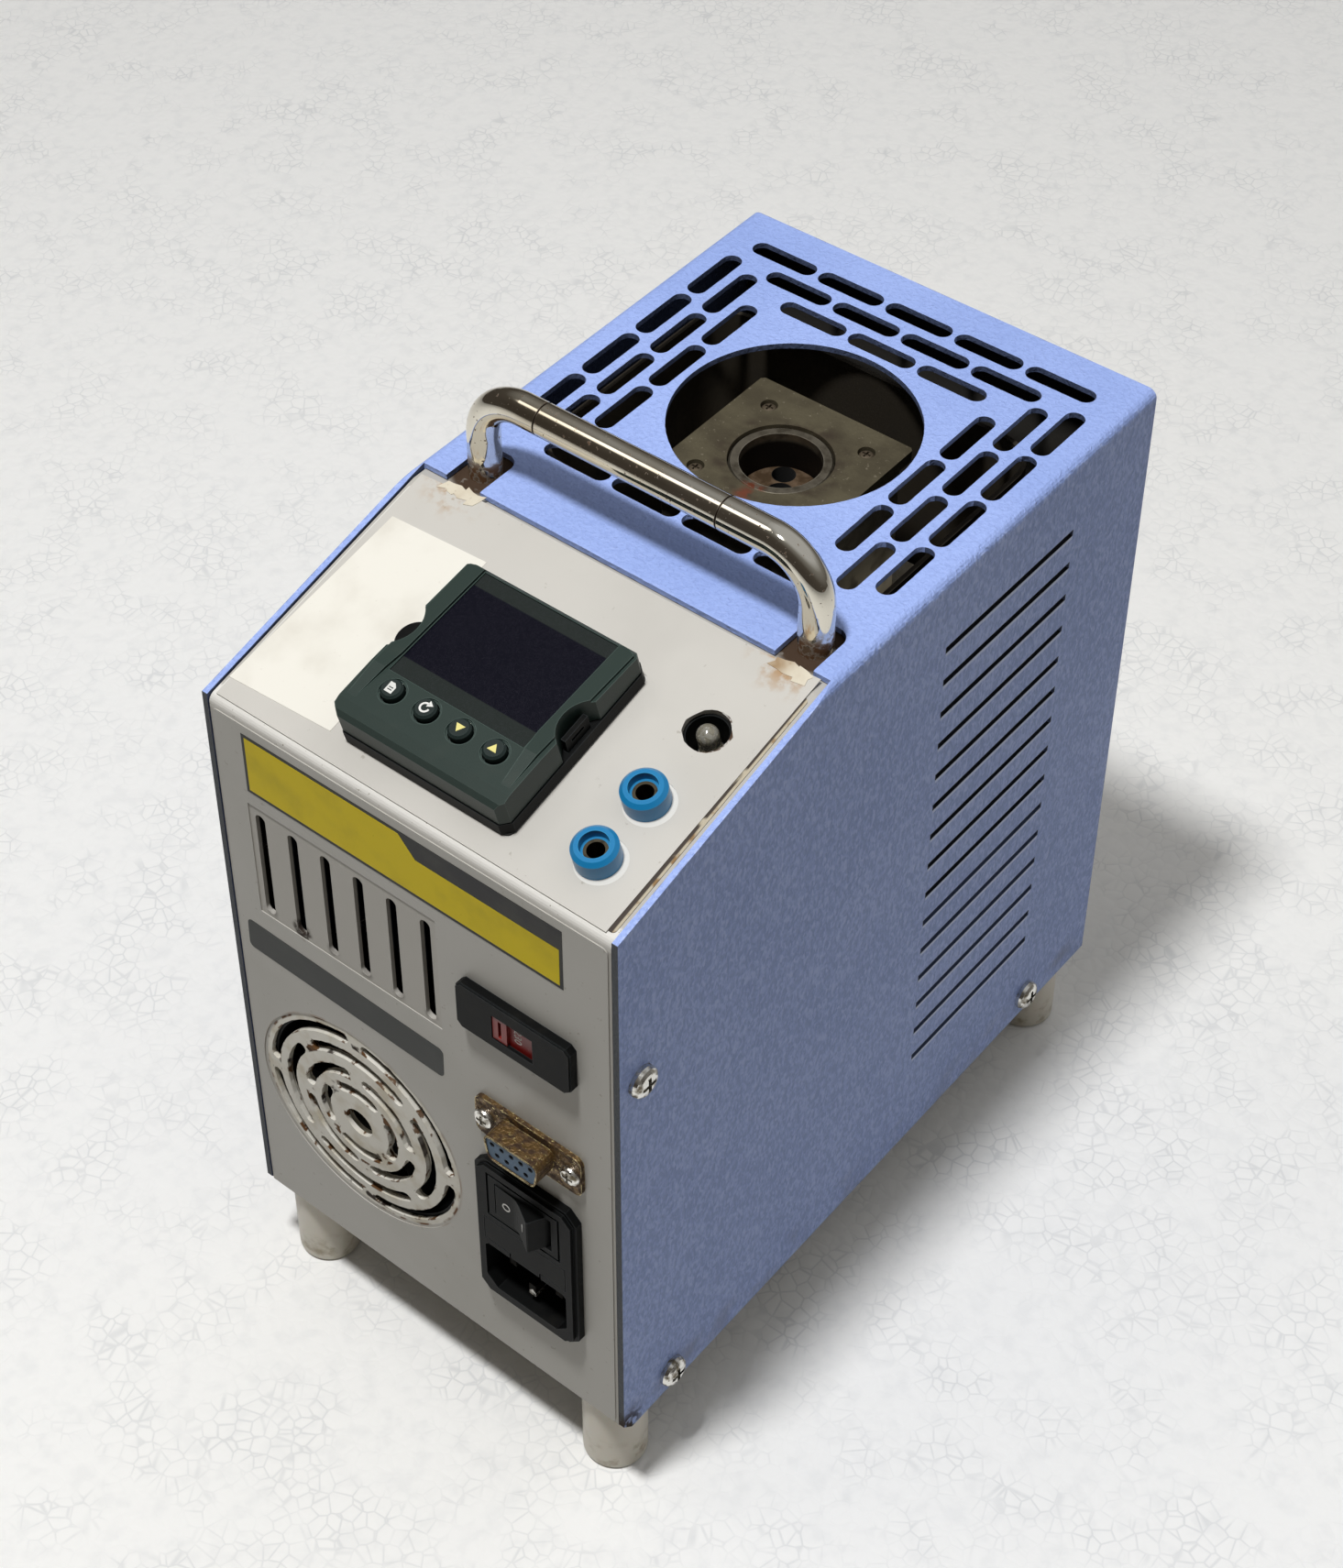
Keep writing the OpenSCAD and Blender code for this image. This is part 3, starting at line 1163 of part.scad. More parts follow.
// One key: the cap, and the flange that keeps it under the bezel
module key(k) {
    top = bezel_rise_low + key_out;
    stand() on_slope(key_x(k), controller_v + key_v) union() {
        rotate_extrude() polygon([[0, key_ceiling - 0.6], [key_d / 2, key_ceiling - 0.6],
            [key_d / 2, top - 0.5],
                                  [key_d / 2 - 0.5, top], [0, top]]);
        translate([0, 0, key_ceiling - 1 - seat]) cylinder(r = key_flange_r, h = 1);
    }
}
module page_key() { color("#2C3836") key(0); }
module scroll_key() { color("#2C3836") key(1); }
module down_key() { color("#2C3836") key(2); }
module up_key() { color("#2C3836") key(3); }

// ---------------------------------------------------------------- test sockets and lamp
contact_d = 5.4;
jack_back = 17;                          // length of a socket behind the panel
jack_lip = 2.2;                          // depth of the contact below the collar's face
jack_mouth_d = 6.6;
module each_jack() { for (v = [socket_low_v, socket_high_v]) on_slope(socket_column_x, v) children(); }
module socket_bodies() {
    color("#1E86B8") stand() each_jack() difference() {
        union() {
            rotate_extrude() polygon([[0, 0], [jack_d / 2, 0], [jack_d / 2, jack_proud - 0.9],
                [jack_d / 2 - 0.9, jack_proud], [0, jack_proud]]);
            translate([0, 0, -jack_back]) cylinder(d = jack_neck_d, h = jack_back + eps);
        }
        translate([0, 0, -jack_back - 1])
            cylinder(r = contact_d / 2 + 0.02, h = jack_back + jack_proud + 2);
        translate([0, 0, jack_proud - jack_lip]) cylinder(d = jack_mouth_d, h = jack_lip + 1);
    }
}
module socket_contacts() {
    color("#D9C27A") stand() each_jack() difference() {
        union() {
            translate([0, 0, -jack_back]) cylinder(d = contact_d, h = jack_back + jack_proud - jack_lip);
            translate([0, 0, -jack_back - 6]) cylinder(d = 2.4, h = 6 + eps);
        }
        translate([0, 0, -jack_back + 2]) cylinder(d = jack_bore_d, h = jack_back + jack_proud);
    }
}
module socket_nuts() {
    color("#C9C9C6") stand() each_jack() translate([0, 0, -overlay_t - sheet_t - 2.6])
        hex_nut(jack_neck_d, 11, 2.6);
}
lamp_top = 0.8;
lamp_d = 5;
lamp_seat = -9;
module lamp_holder() {
    top = -overlay_t - sheet_t;
    color("#15120F") stand() on_slope(socket_column_x, lamp_v) difference() {
        translate([0, 0, lamp_seat - 1.5]) cylinder(r = lamp_hole_r + 1.6, h = top - lamp_seat + 1.5);
        translate([0, 0, lamp_seat]) rotate_extrude()
            polygon([[0, 0], [lamp_d / 2 + 1, 0], [lamp_hole_r - 0.4, top - lamp_seat + 1],
                [0, top - lamp_seat + 1]]);
        for (x = [-1.27, 1.27]) translate([x, 0, lamp_seat - 3]) cylinder(d = 0.9, h = 4, $fn = 16);
    }
}
module lamp_lens() {
    body = lamp_top - lamp_seat - lamp_d / 2;
    color("#E9E4D2") stand() on_slope(socket_column_x, lamp_v, lamp_seat) union() {
        cylinder(d = lamp_d, h = body);
        cylinder(d = lamp_d + 0.8, h = 1);
        translate([0, 0, body - eps]) rotate_extrude()
            polygon(concat([[0, 0]], [for (k = [0:8]) lamp_d / 2 * [cos(11.25 * k), sin(11.25 * k)]]));
        for (x = [-1.27, 1.27]) translate([x, 0, -8]) cylinder(d = 0.6, h = 8 + eps, $fn = 16);
    }
}

// ---------------------------------------------------------------- well
module at_well(z = 0) { translate([well_x, well_y, z]) children(); }
module four(offset) { for (x = [-1, 1], y = [-1, 1]) translate([x * offset, y * offset, 0]) children(); }
heater_d = 6.5;
heater_room = 20;                        // solid block left above the heaters
sensor_d = 3;
sensor_y = -16.4;
sensor_reach = 75;
stud_l = 5.5;
module heater_block() {
    color("#A9A49A") stand() at_well(block_z) difference() {
        linear_extrude(block_h) cut_rect(block_size, block_size, 1);
        translate([0, 0, well_bottom - block_z]) cylinder(r = well_outer_r + fit, h = block_h);
        four(plate_screw_pitch / 2) translate([0, 0, block_h - 9]) cylinder(r = 1.5 + fit, h = 10);
        four(heater_offset) translate([0, 0, -1])
            cylinder(r = heater_d / 2 + fit, h = block_h - heater_room + 1);
        four(pillar_offset) translate([0, 0, -1]) cylinder(r = 1.5 + fit, h = stud_l + 1.2);
        translate([0, sensor_y, -1]) cylinder(r = sensor_d / 2 + fit, h = sensor_reach + 1.3);
    }
}
module block_plate() {
    color("#6F6A5C") stand() at_well(plate_z) difference() {
        linear_extrude(plate_t) cut_rect(plate_size, plate_size, 0.8);
        translate([0, 0, -1]) cylinder(r = well_outer_r + slack, h = plate_t + 2);
        four(plate_screw_pitch / 2) {
            translate([0, 0, -1]) cylinder(r = 1.5 + hole_clear, h = plate_t + 2);
            translate([0, 0, plate_t - 1.9]) cylinder(r = 2.1, h = 3);
        }
    }
}
module plate_screws() {
    color("#4A453A") stand() at_well(plate_z + plate_t - 1.9) four(plate_screw_pitch / 2)
        pan_screw(3, 3.9, 1.5, 9);
}
module well_tube() {
    color("#9B978B") stand() at_well(well_bottom) difference() {
        rotate_extrude() polygon([[0, 0], [well_outer_r, 0], [well_outer_r, rim_z - well_bottom - 0.5],
                                  [well_outer_r - 0.5, rim_z - well_bottom], [0, rim_z - well_bottom]]);
        translate([0, 0, well_floor]) cylinder(r = well_r, h = rim_z);
    }
}
module insert() {
    l = insert_top - insert_z;
    color("#8C7A68") stand() at_well(insert_z) difference() {
        rotate_extrude() polygon([[0, 0], [insert_r - 0.6, 0], [insert_r, 0.6], [insert_r, l - 0.5],
            [insert_r - 0.5, l], [0, l]]);
        translate([0, 0, l - bore_depth]) cylinder(d = bore_mid_d, h = bore_depth + 1);
        rotate(119) translate([bore_side_r, 0, l - bore_depth])
            cylinder(d = bore_side_d, h = bore_depth + 1);
    }
}
module cartridge_heaters() {
    out = 5;
    color("#B8B4A8") stand() at_well(block_z) four(heater_offset) {
        translate([0, 0, -out]) cylinder(d = heater_d, h = out + block_h - heater_room - 0.5);
        translate([0, 0, -out - 4]) cylinder(d = heater_d - 1.6, h = 4 + eps);
        for (x = [-1.3, 1.3]) translate([x, 0, -out - 14]) cylinder(d = 1.2, h = 10 + eps, $fn = 24);
    }
}
module block_sensor() {
    color("#C4C0B4") stand() at_well(block_z) translate([0, sensor_y, 0]) {
        translate([0, 0, -6]) cylinder(d = sensor_d, h = sensor_reach + 6);
        translate([0, 0, -16]) cylinder(d = 4.4, h = 10 + eps);
        for (x = [-1, 1]) translate([x, 0, -24]) cylinder(d = 1, h = 8 + eps, $fn = 24);
    }
}
module block_pillars() {
    l = block_z - floor_top;
    color("#D9D3C4") stand() at_well(floor_top) four(pillar_offset) difference() {
        union() {
            cylinder(d = 8.4, h = l);
            cylinder(d = 3, h = l + stud_l);
        }
        translate([0, 0, -1]) cylinder(r = 1.5 + fit, h = 10);
    }
}
module pillar_screws() {
    color("#C9C9C6") stand() at_well(floor_lift) four(pillar_offset) rotate([180, 0, 0])
        pan_screw(3, 5.5, 1.8, 8);
}
module insulation() {
    inner = block_size + 2 * seat;
    outer = block_size + 2 * jacket_t;
    color("#D8D2C0") stand() at_well(block_z + 3) linear_extrude(jacket_h) difference() {
        rounded_rect(outer, outer, 4);
        square(inner, center = true);
    }
}
// Places of the shield's screws in the chassis floor
shield_lip = 9;
shield_lip_l = 44;
function shield_fixings() = [for (x = [-1, 1], y = [-1, 1]) [x * (shield_half_w - shield_lip / 2),
    well_y + y * 17]];
module shield_walls(grow) {
    l = shield_front + shield_rear + 2 * grow;
    translate([0, well_y + (shield_rear - shield_front) / 2])
        rounded_rect(2 * (shield_half_w + grow), l, shield_corner_r + grow);
}
module heat_shield() {
    top = case_h - shield_drop;
    color("#7C786E") stand() difference() {
        union() {
            translate([0, 0, floor_top]) linear_extrude(top - floor_top) difference() {
                shield_walls(sheet_t);
                shield_walls(0);
            }
            both_sides() translate([shield_half_w - shield_lip, well_y - shield_lip_l / 2, floor_top])
                cube([shield_lip + eps, shield_lip_l, sheet_t]);
        }
        // passage for the wires in the lower front edge
        translate([-14, well_y - shield_front - 3, floor_top - 1]) cube([28, 6, 15]);
        for (p = shield_fixings()) translate([p[0], p[1], 0]) cylinder(r = 1.5 + fit, h = 5);
    }
}
module shield_screws() {
    color("#C9C9C6") stand() for (p = shield_fixings()) translate([p[0], p[1], floor_lift])
        rotate([180, 0, 0]) pan_screw(3, 5.5, 1.8, 4);
}

// ---------------------------------------------------------------- relay and terminals
relay_x = 32.5 - case_w / 2;
relay_y = 63;
relay_size = [45, 58, 23];
relay_base_t = 5;
relay_pitch = 47.6;
function relay_fixings() = [relay_y - relay_pitch / 2, relay_y + relay_pitch / 2];
module relay() {
    color("#22262C") stand() translate([relay_x, relay_y, floor_top]) difference() {
        union() {
            linear_extrude(relay_base_t) cut_rect(relay_size[0], relay_size[1], 1.5);
            translate([0, 0, relay_base_t - eps]) linear_extrude(relay_size[2] - relay_base_t)
                square([relay_size[0], relay_pitch - 8], center = true);
        }
        for (y = [-1, 1]) translate([0, y * relay_pitch / 2, -1])
            cylinder(r = 1.5 + hole_clear, h = relay_base_t + 2);
        for (x = [-1, 1], y = [-1, 1]) translate([x * 13, y * 13.5, relay_size[2] - 6]) {
            translate([-5.5, -7, 0]) cube([11, 14, 8]);
            translate([0, 0, -7]) cylinder(r = 2 + fit, h = 8);
        }
    }
}
module relay_terminals() {
    color("#D9C27A") stand() translate([relay_x, relay_y, floor_top]) for (x = [-1, 1], y = [-1, 1])
        translate([x * 13, y * 13.5, relay_size[2] - 6]) {
            translate([-4.5, -5, 0]) cube([9, 10, 1]);
            translate([0, 0, 1 - eps]) pan_screw(4, 7, 2.6, 6);
        }
}
module relay_screws() {
    color("#C9C9C6") stand() for (y = relay_fixings()) translate([relay_x, y, floor_top + relay_base_t])
        pan_screw(3, 6, 2, relay_base_t + 1);
}
strip_x = case_w / 2 - 26.5;
strip_y = 66;
strip_ways = 5;
strip_pitch = 8.5;
strip_h = 13;
strip_w = strip_ways * strip_pitch + 1.5;
module strip_ways_at() {
    for (k = [0:strip_ways - 1]) translate([(k - (strip_ways - 1) / 2) * strip_pitch, 0, 0]) children();
}
module terminal_strip() {
    color("#D9D5C8") stand() translate([strip_x - strip_w / 2, strip_y - 11, floor_top]) difference() {
        cube([strip_w, 22, strip_h]);
        translate([strip_w / 2, 11, 0]) strip_ways_at() {
            translate([-3.5, -12, 6]) cube([7, 24, strip_h]);
            for (y = [-1, 1]) translate([0, y * 6.5, 2]) cylinder(r = 1.5 + fit, h = 5);
        }
    }
}
module terminal_screws() {
    color("#C9C9C6") stand() translate([strip_x, strip_y, floor_top + 6]) strip_ways_at() {
        translate([-3, -10, 0]) cube([6, 20, 0.8]);
        for (y = [-1, 1]) translate([0, y * 6.5, 0.8 - eps]) pan_screw(3, 5.5, 2, 4.5);
    }
}

chassis();
rear_panel();
rear_screws();
cover();
cover_screws();
front_overlay();
slope_overlay();
feet();
foot_screws();
foot_nuts();
handle_tube();
handle_elbows();
handle_screws();
fan_frame();
fan_nuts();
fan_rotor();
inlet_body();
inlet_pins();
power_rocker();
fuse_drawer();
fuses();
serial_shell();
serial_insert();
serial_screws();
serial_nuts();
selector_body();
selector_slider();
controller_sleeve();
controller_clips();
controller_gasket();
controller_bezel();
controller_window();
controller_board();
keypad_mat();
page_key();
scroll_key();
down_key();
up_key();
socket_bodies();
socket_contacts();
socket_nuts();
lamp_holder();
lamp_lens();
heater_block();
block_plate();
plate_screws();
well_tube();
insert();
cartridge_heaters();
block_sensor();
block_pillars();
pillar_screws();
insulation();
heat_shield();
shield_screws();
relay();
relay_terminals();
relay_screws();
terminal_strip();
terminal_screws();
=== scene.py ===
"""Dry block heater: a bench temperature calibrator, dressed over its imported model."""

import json
import math

import bpy
from mathutils import Euler, Matrix, Vector


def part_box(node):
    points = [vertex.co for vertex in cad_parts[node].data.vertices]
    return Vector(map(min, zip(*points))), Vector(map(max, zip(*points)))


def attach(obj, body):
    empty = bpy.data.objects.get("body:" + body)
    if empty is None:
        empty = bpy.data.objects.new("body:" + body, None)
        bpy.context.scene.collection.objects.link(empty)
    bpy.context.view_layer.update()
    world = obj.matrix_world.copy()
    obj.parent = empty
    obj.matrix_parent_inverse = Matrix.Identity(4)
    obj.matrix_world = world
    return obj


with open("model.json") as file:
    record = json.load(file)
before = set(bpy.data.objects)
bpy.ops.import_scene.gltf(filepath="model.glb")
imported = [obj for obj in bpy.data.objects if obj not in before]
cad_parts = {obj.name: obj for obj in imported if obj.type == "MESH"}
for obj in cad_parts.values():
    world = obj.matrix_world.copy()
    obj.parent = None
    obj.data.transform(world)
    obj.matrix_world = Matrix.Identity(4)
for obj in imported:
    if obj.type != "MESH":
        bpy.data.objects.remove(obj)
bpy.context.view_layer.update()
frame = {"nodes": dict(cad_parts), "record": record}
NODES = frame["nodes"]
MM = 0.001

# ---------------------------------------------------------------- places on the object, in millimetres
# x from the middle, y back from the cover's front edge, z up from the cover's lower edge
COVER_LOW, COVER_HIGH = (Vector(corner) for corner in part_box("cover"))
CASE_W, _, CASE_H = (COVER_HIGH - COVER_LOW) / MM
BEND_Z = 173.7           # where the front turns into the slope
SLOPE_RUN = 72.9         # how far back the slope reaches
SLOPE_DROP = 0.4         # slope overlay below the cover's side edges
SLOPE_ANGLE = math.atan2(CASE_H - BEND_Z, SLOPE_RUN)
BEND_CHIPS = ((-32.9, 0.8), (26.5, 1.3))   # chips in the bend's paint: x, size
FAN = (-21.4, 54.1)      # the fan's axis on the front: x, z
DOME_R = 31.0            # rim of the grille's dome
GRILLE_RINGS = (28.1, 22.5, 16.2, 10.9, 3.2)   # middles of the ring slots; edge of the centre hole
SLOTS_X = [-44.75 + 9.86 * k for k in range(6)]
SLOT_LOW = 111.0         # foot of the upright slots
WORST_SLOT = 1           # the slot with the most rust at its foot
INLET_X, SERIAL_X, SELECTOR_X = 32.06, 32.96, 30.96
ROCKER_Z, CAVITY_Z, LIVE_PIN_X = 65.2, 38.0, 7
SELECTOR_Z, SERIAL_Z = 126.8, 90.4
CONTACT_PITCH, CONTACT_ROW = 2.77, 1.42   # of the serial port's contacts
WELL = (0.0, 131.3)
PLATE_Z, RIM_Z = 184.5, 184.0   # the plate on the block, and the rim of the well
SIDE_BORE = (-3.1, 5.6)     # from the well's axis
CONTROLLER_V = 31.5      # the controller's middle, up the slope
SCREEN_MASKS = ((49.9, 60.0), (10.0, 26.6))   # above and below the screen, up the slope
JACK_X, JACKS_V, LAMP_V = 42.2, (14.3, 30.7), 51.0
LABEL_RIGHT = 54.0       # the slope label's right edge
LEGS_X, LEG_Y = (-45.1, 47.5), 80.0
SLIT_COUNT, SLIT_Z, SLIT_PITCH, SLIT_Y, SLIT_L = 15, 31.0, 9.98, 139.8, 50.5
FLOOR_Z = -24.5          # the table under the feet
INSIDE = (0.0, 95.0, 90.0)   # a place well inside the case
# which axes count towards a distance
FROM_FRONT, FROM_ABOVE = (1.0, 0.0, 1.0), (1.0, 1.0, 0.0)


def case(x, y, z):
    """A place on the case as a vector in the row's frame."""
    return Vector((x * MM, COVER_LOW.y + y * MM, COVER_LOW.z + z * MM))


def face(origin, *turns):
    """The frame of one face, taking millimetres: across, up the face, and out of it."""
    matrix = Matrix.Translation(origin)
    for angle, axis in turns:
        matrix = matrix @ Matrix.Rotation(angle, 4, axis)
    return matrix @ Matrix.Scale(MM, 4)


FRONT = face(case(0, 0, 0), (math.pi / 2, "X"))
SLOPE = face(case(0, 0, BEND_Z), (SLOPE_ANGLE, "X")) @ Matrix.Translation((0, 0, -SLOPE_DROP))


def srgb(hex_code):
    """An sRGB hex colour as the linear values that shaders take."""
    channels = [int(hex_code[i:i + 2], 16) / 255 for i in (1, 3, 5)]
    return (*[c / 12.92 if c <= 0.04045 else ((c + 0.055) / 1.055) ** 2.4 for c in channels], 1.0)


# ---------------------------------------------------------------- making materials
def add(tree, kind, inputs=None, links=None, stops=(), **settings):
    """One shader node with its settings, input values, links and colour stops."""
    node = tree.nodes.new(kind)
    for name, value in settings.items():
        setattr(node, name, value)
    for name, value in (inputs or {}).items():
        node.inputs[name].default_value = value
    for name, source in (links or {}).items():
        tree.links.new(source, node.inputs[name])
    for i, (at, value) in enumerate(stops):
        elements = node.color_ramp.elements
        element = elements[i] if i < len(elements) else elements.new(at)
        element.position = at
        element.color = srgb(value) if isinstance(value, str) else (value, value, value, 1.0)
    return node


class Finish:
    """A material in the making: a base finish, then layers of wear and dirt and, in places, of painted
    shade and highlight, then relief.
    """

    def __init__(self, name, colour, roughness, **sockets):
        self.material = bpy.data.materials.new(name)
        self.material.use_nodes = True
        self.tree = self.material.node_tree
        self.shader = self.tree.nodes["Principled BSDF"]
        self.shader.inputs["Base Color"].default_value = srgb(colour)
        self.shader.inputs["Roughness"].default_value = roughness
        for socket, value in sockets.items():
            self.shader.inputs[socket.replace("_", " ")].default_value = value
        self.coords = add(self.tree, "ShaderNodeTexCoord")
        to_case = (0.0, -COVER_LOW.y / MM, -COVER_LOW.z / MM)
        self.place = self.add("ShaderNodeVectorMath", {1: (1 / MM,) * 3, 2: to_case},
                              {0: self.coords.outputs["Object"]}, operation="MULTIPLY_ADD").outputs[0]
        split = self.add("ShaderNodeSeparateXYZ", links={0: self.place})
        self.x, self.y, self.z = split.outputs

    def add(self, kind, inputs=None, links=None, stops=(), **settings):
        return add(self.tree, kind, inputs, links, stops, **settings)

    def combine(self, a, b, operation="MULTIPLY"):
        """Two masks, or a mask and a number, as one."""
        values = {i: v for i, v in enumerate((a, b)) if isinstance(v, (int, float))}
        links = {i: v for i, v in enumerate((a, b)) if not isinstance(v, (int, float))}
        return self.add("ShaderNodeMath", values, links, operation=operation).outputs[0]

    def within(self, value, low, high, soft):
        """A mask that is 1 where a value lies between two limits, with soft ends."""
        middle, reach = (low + high) / 2, (high - low) / 2
        away = self.combine(self.combine(value, -middle, "ADD"), 0.0, "ABSOLUTE")
        limits = {"From Min": reach - soft / 2, "From Max": reach + soft / 2, "To Min": 1.0, "To Max": 0.0}
        return self.add("ShaderNodeMapRange", limits, {"Value": away},
                        interpolation_type="SMOOTHSTEP").outputs[0]

    def near(self, point, reach, soft, axes=(1.0, 1.0, 1.0)):
        """A mask that is 1 within a reach of a place on the case, measured along the axes that are 1."""
        seat = tuple(-p * a for p, a in zip(point, axes))
        away = self.add("ShaderNodeVectorMath", {1: axes, 2: seat}, {0: self.place},
                        operation="MULTIPLY_ADD").outputs[0]
        far = self.add("ShaderNodeVectorMath", links={0: away}, operation="LENGTH").outputs["Value"]
        return self.within(far, -reach, reach, soft)

    def patches(self, size, low, high, detail=2.0, seed=0.0):
        """A mask of random patches of about one size in millimetres; a low limit covers more."""
        grain = self.add("ShaderNodeTexNoise", {"Scale": 1 / size, "Detail": detail, "W": seed},
                         {"Vector": self.place}, noise_dimensions="4D")
        return self.add("ShaderNodeMapRange", {"From Min": low, "From Max": high},
                        {"Value": grain.outputs["Fac"]}, interpolation_type="SMOOTHSTEP").outputs[0]

    def outward(self, centre):
        """A mask that is 1 on faces that look away from a place inside the case."""
        ray = self.add("ShaderNodeVectorMath", {1: centre}, {0: self.place},
                       operation="SUBTRACT").outputs[0]
        look = self.add("ShaderNodeVectorMath", links={0: ray, 1: self.coords.outputs["Normal"]},
                        operation="DOT_PRODUCT").outputs["Value"]
        return self.combine(look, 0.0, "GREATER_THAN")

    def edges(self, radius, low=0.02, high=0.2):
        """A mask along sharp edges, about one radius in millimetres wide."""
        rounded = self.add("ShaderNodeBevel", {"Radius": radius * MM}, samples=6)
        flat = self.add("ShaderNodeNewGeometry")
        same = self.add("ShaderNodeVectorMath", links={0: rounded.outputs[0], 1: flat.outputs["Normal"]},
                        operation="DOT_PRODUCT").outputs["Value"]
        return self.add("ShaderNodeMapRange", {"From Min": 1 - low, "From Max": 1 - high},
                        {"Value": same}).outputs[0]

    def layer(self, mask, colour=None, **sockets):
        """A second finish over what is there, where the mask is 1."""
        targets = {name.replace("_", " "): value for name, value in sockets.items()}
        if colour:
            targets["Base Color"] = srgb(colour)
        for name, value in targets.items():
            socket = self.shader.inputs[name]
            kind, under, over, result = ("RGBA", 6, 7, 2) if name == "Base Color" else ("FLOAT", 2, 3, 0)
            mix = self.add("ShaderNodeMix", {over: value}, {0: mask}, data_type=kind)
            if socket.is_linked:
                self.tree.links.new(socket.links[0].from_socket, mix.inputs[under])
            else:
                mix.inputs[under].default_value = socket.default_value
            self.tree.links.new(mix.outputs[result], socket)
        return self

    def relief(self, height, depth, strength=1.0):
        """Raises the surface by a depth in millimetres where the height is 1."""
        bump = self.add("ShaderNodeBump", {"Strength": strength, "Distance": depth * MM},
                        {"Height": height})
        normal = self.shader.inputs["Normal"]
        if normal.is_linked:
            self.tree.links.new(normal.links[0].from_socket, bump.inputs["Normal"])
        self.tree.links.new(bump.outputs["Normal"], normal)
        return self

    def grain(self, size, depth, detail=2.0, roughness=0.5):
        """Even random relief with grains of one size in millimetres."""
        values = {"Scale": 1 / size, "Detail": detail, "Roughness": roughness}
        noise = self.add("ShaderNodeTexNoise", values, {"Vector": self.place})
        return self.relief(noise.outputs["Fac"], depth)


DUST, RUST, DARK_RUST, RED_SCALE = "#8C8271", "#5F3E1B", "#2B1F16", "#75402C"


def wrinkle_powder_coat():
    """Powder coat baked to a wrinkle finish on sheet steel, with grains about 1.4 mm across."""
    coat = Finish("wrinkle_powder_coat", "#A2B8F2", 0.5, Specular_IOR_Level=0.45)
    coat.layer(coat.patches(50, 0.35, 0.7), "#98AFEA")
    across = coat.combine(coat.x, 0.0, "ABSOLUTE")
    # painted shade darkens the valleys of the wrinkle, and a painted highlight lightens its ridges, most of
    # all on the upright sides
    drawn = coat.add("ShaderNodeVectorMath", {1: (1.0, 1.0, 0.6)}, {0: coat.place},
                     operation="MULTIPLY").outputs[0]
    wrinkle = 1.0
    leather = {"Scale": 1 / wrinkle, "Detail": 1.5, "Roughness": 0.5, "Distortion": 0.5}
    skin = coat.add("ShaderNodeTexNoise", leather, {"Vector": drawn}).outputs["Fac"]
    painted_valley_shade = coat.add("ShaderNodeMapRange", {"From Min": 0.56, "From Max": 0.38},
                      {"Value": skin}).outputs[0]
    upright = coat.within(across, CASE_W / 2 - 0.4, CASE_W / 2 + 1.0, 0.4)
    coat.layer(coat.combine(painted_valley_shade, 0.2), "#7C90CC", Roughness=0.6)
    coat.layer(coat.combine(painted_valley_shade, coat.combine(upright, 0.3)), "#7C8FC6", Roughness=0.6)
    # painted highlight on the ridges of the wrinkle, on the upright sides
    painted_ridge_highlight = coat.add("ShaderNodeMapRange", {"From Min": 0.55, "From Max": 0.68}, {"Value": skin}).outputs[0]
    coat.layer(coat.combine(painted_ridge_highlight, coat.combine(upright, 0.4)), "#C6D5FF")
    # a little oil and dust along the lower edges
    low = coat.within(coat.z, -5.0, 9.0, 9.0)
    coat.layer(coat.combine(low, coat.patches(14, 0.45, 0.75, 4.0, 1.0)), "#8C97BE", Roughness=0.6)
    # painted shade darkens each side slit in its cut, and a painted highlight lightens the sheet pressed up
    # below it
    top_slit = SLIT_Z + (SLIT_COUNT - 1) * SLIT_PITCH
    row = coat.combine(coat.z, SLIT_Z - SLIT_PITCH / 2, "SUBTRACT")
    above = coat.combine(coat.combine(row, SLIT_PITCH, "MODULO"), SLIT_PITCH / 2, "SUBTRACT")
    sheet = coat.within(across, CASE_W / 2 - 3.0, CASE_W / 2 + 1.0, 0.1)
    rows = coat.combine(sheet, coat.within(coat.z, SLIT_Z - 3.0, top_slit + 3.0, 0.2))
    slit_from, slit_to = SLIT_Y - SLIT_L / 2, SLIT_Y + SLIT_L / 2
    painted_lip_highlight = coat.combine(rows, coat.within(coat.y, slit_from, slit_to, 0.8))
    coat.layer(coat.combine(painted_lip_highlight, coat.within(above, -1.9, -0.8, 0.5)), "#CFDBFD")
    # painted shade: the slit's cut is painted near black
    cut = coat.combine(rows, coat.within(coat.y, slit_from - 0.2, slit_to + 0.2, 0.1))
    coat.layer(coat.combine(cut, coat.within(above, -0.95, 0.95, 0.1)), "#10131C", Roughness=0.9)
    # bare, darkened steel shows on the cut edge round the front
    coat.layer(coat.within(coat.y, -1.0, 0.12, 0.1), "#474B50", Roughness=0.7)
    # chips down to brown primer on the cut edges, and a rusted lower front corner
    edge = coat.combine(coat.edges(0.5, 0.05, 0.3), coat.patches(5, 0.5, 0.62, 3.0, 2.0))
    coat.layer(edge, "#5E5A66", Roughness=0.7)
    corner = coat.near((CASE_W / 2, 1.0, 2.0), 5.0, 6.0)
    coat.layer(coat.combine(corner, coat.patches(2.0, 0.42, 0.55, 3.0, 5.0)), DARK_RUST, Roughness=0.9)
    # painted shade on the faces inside the cover
    painted_inner_shade = coat.combine(1.0, coat.outward(INSIDE), "SUBTRACT")
    coat.layer(painted_inner_shade, "#4C5878", Roughness=0.8)
    coat.relief(skin, 0.4)
    coat.grain(0.5, 0.06, 1.0)
    return coat.material


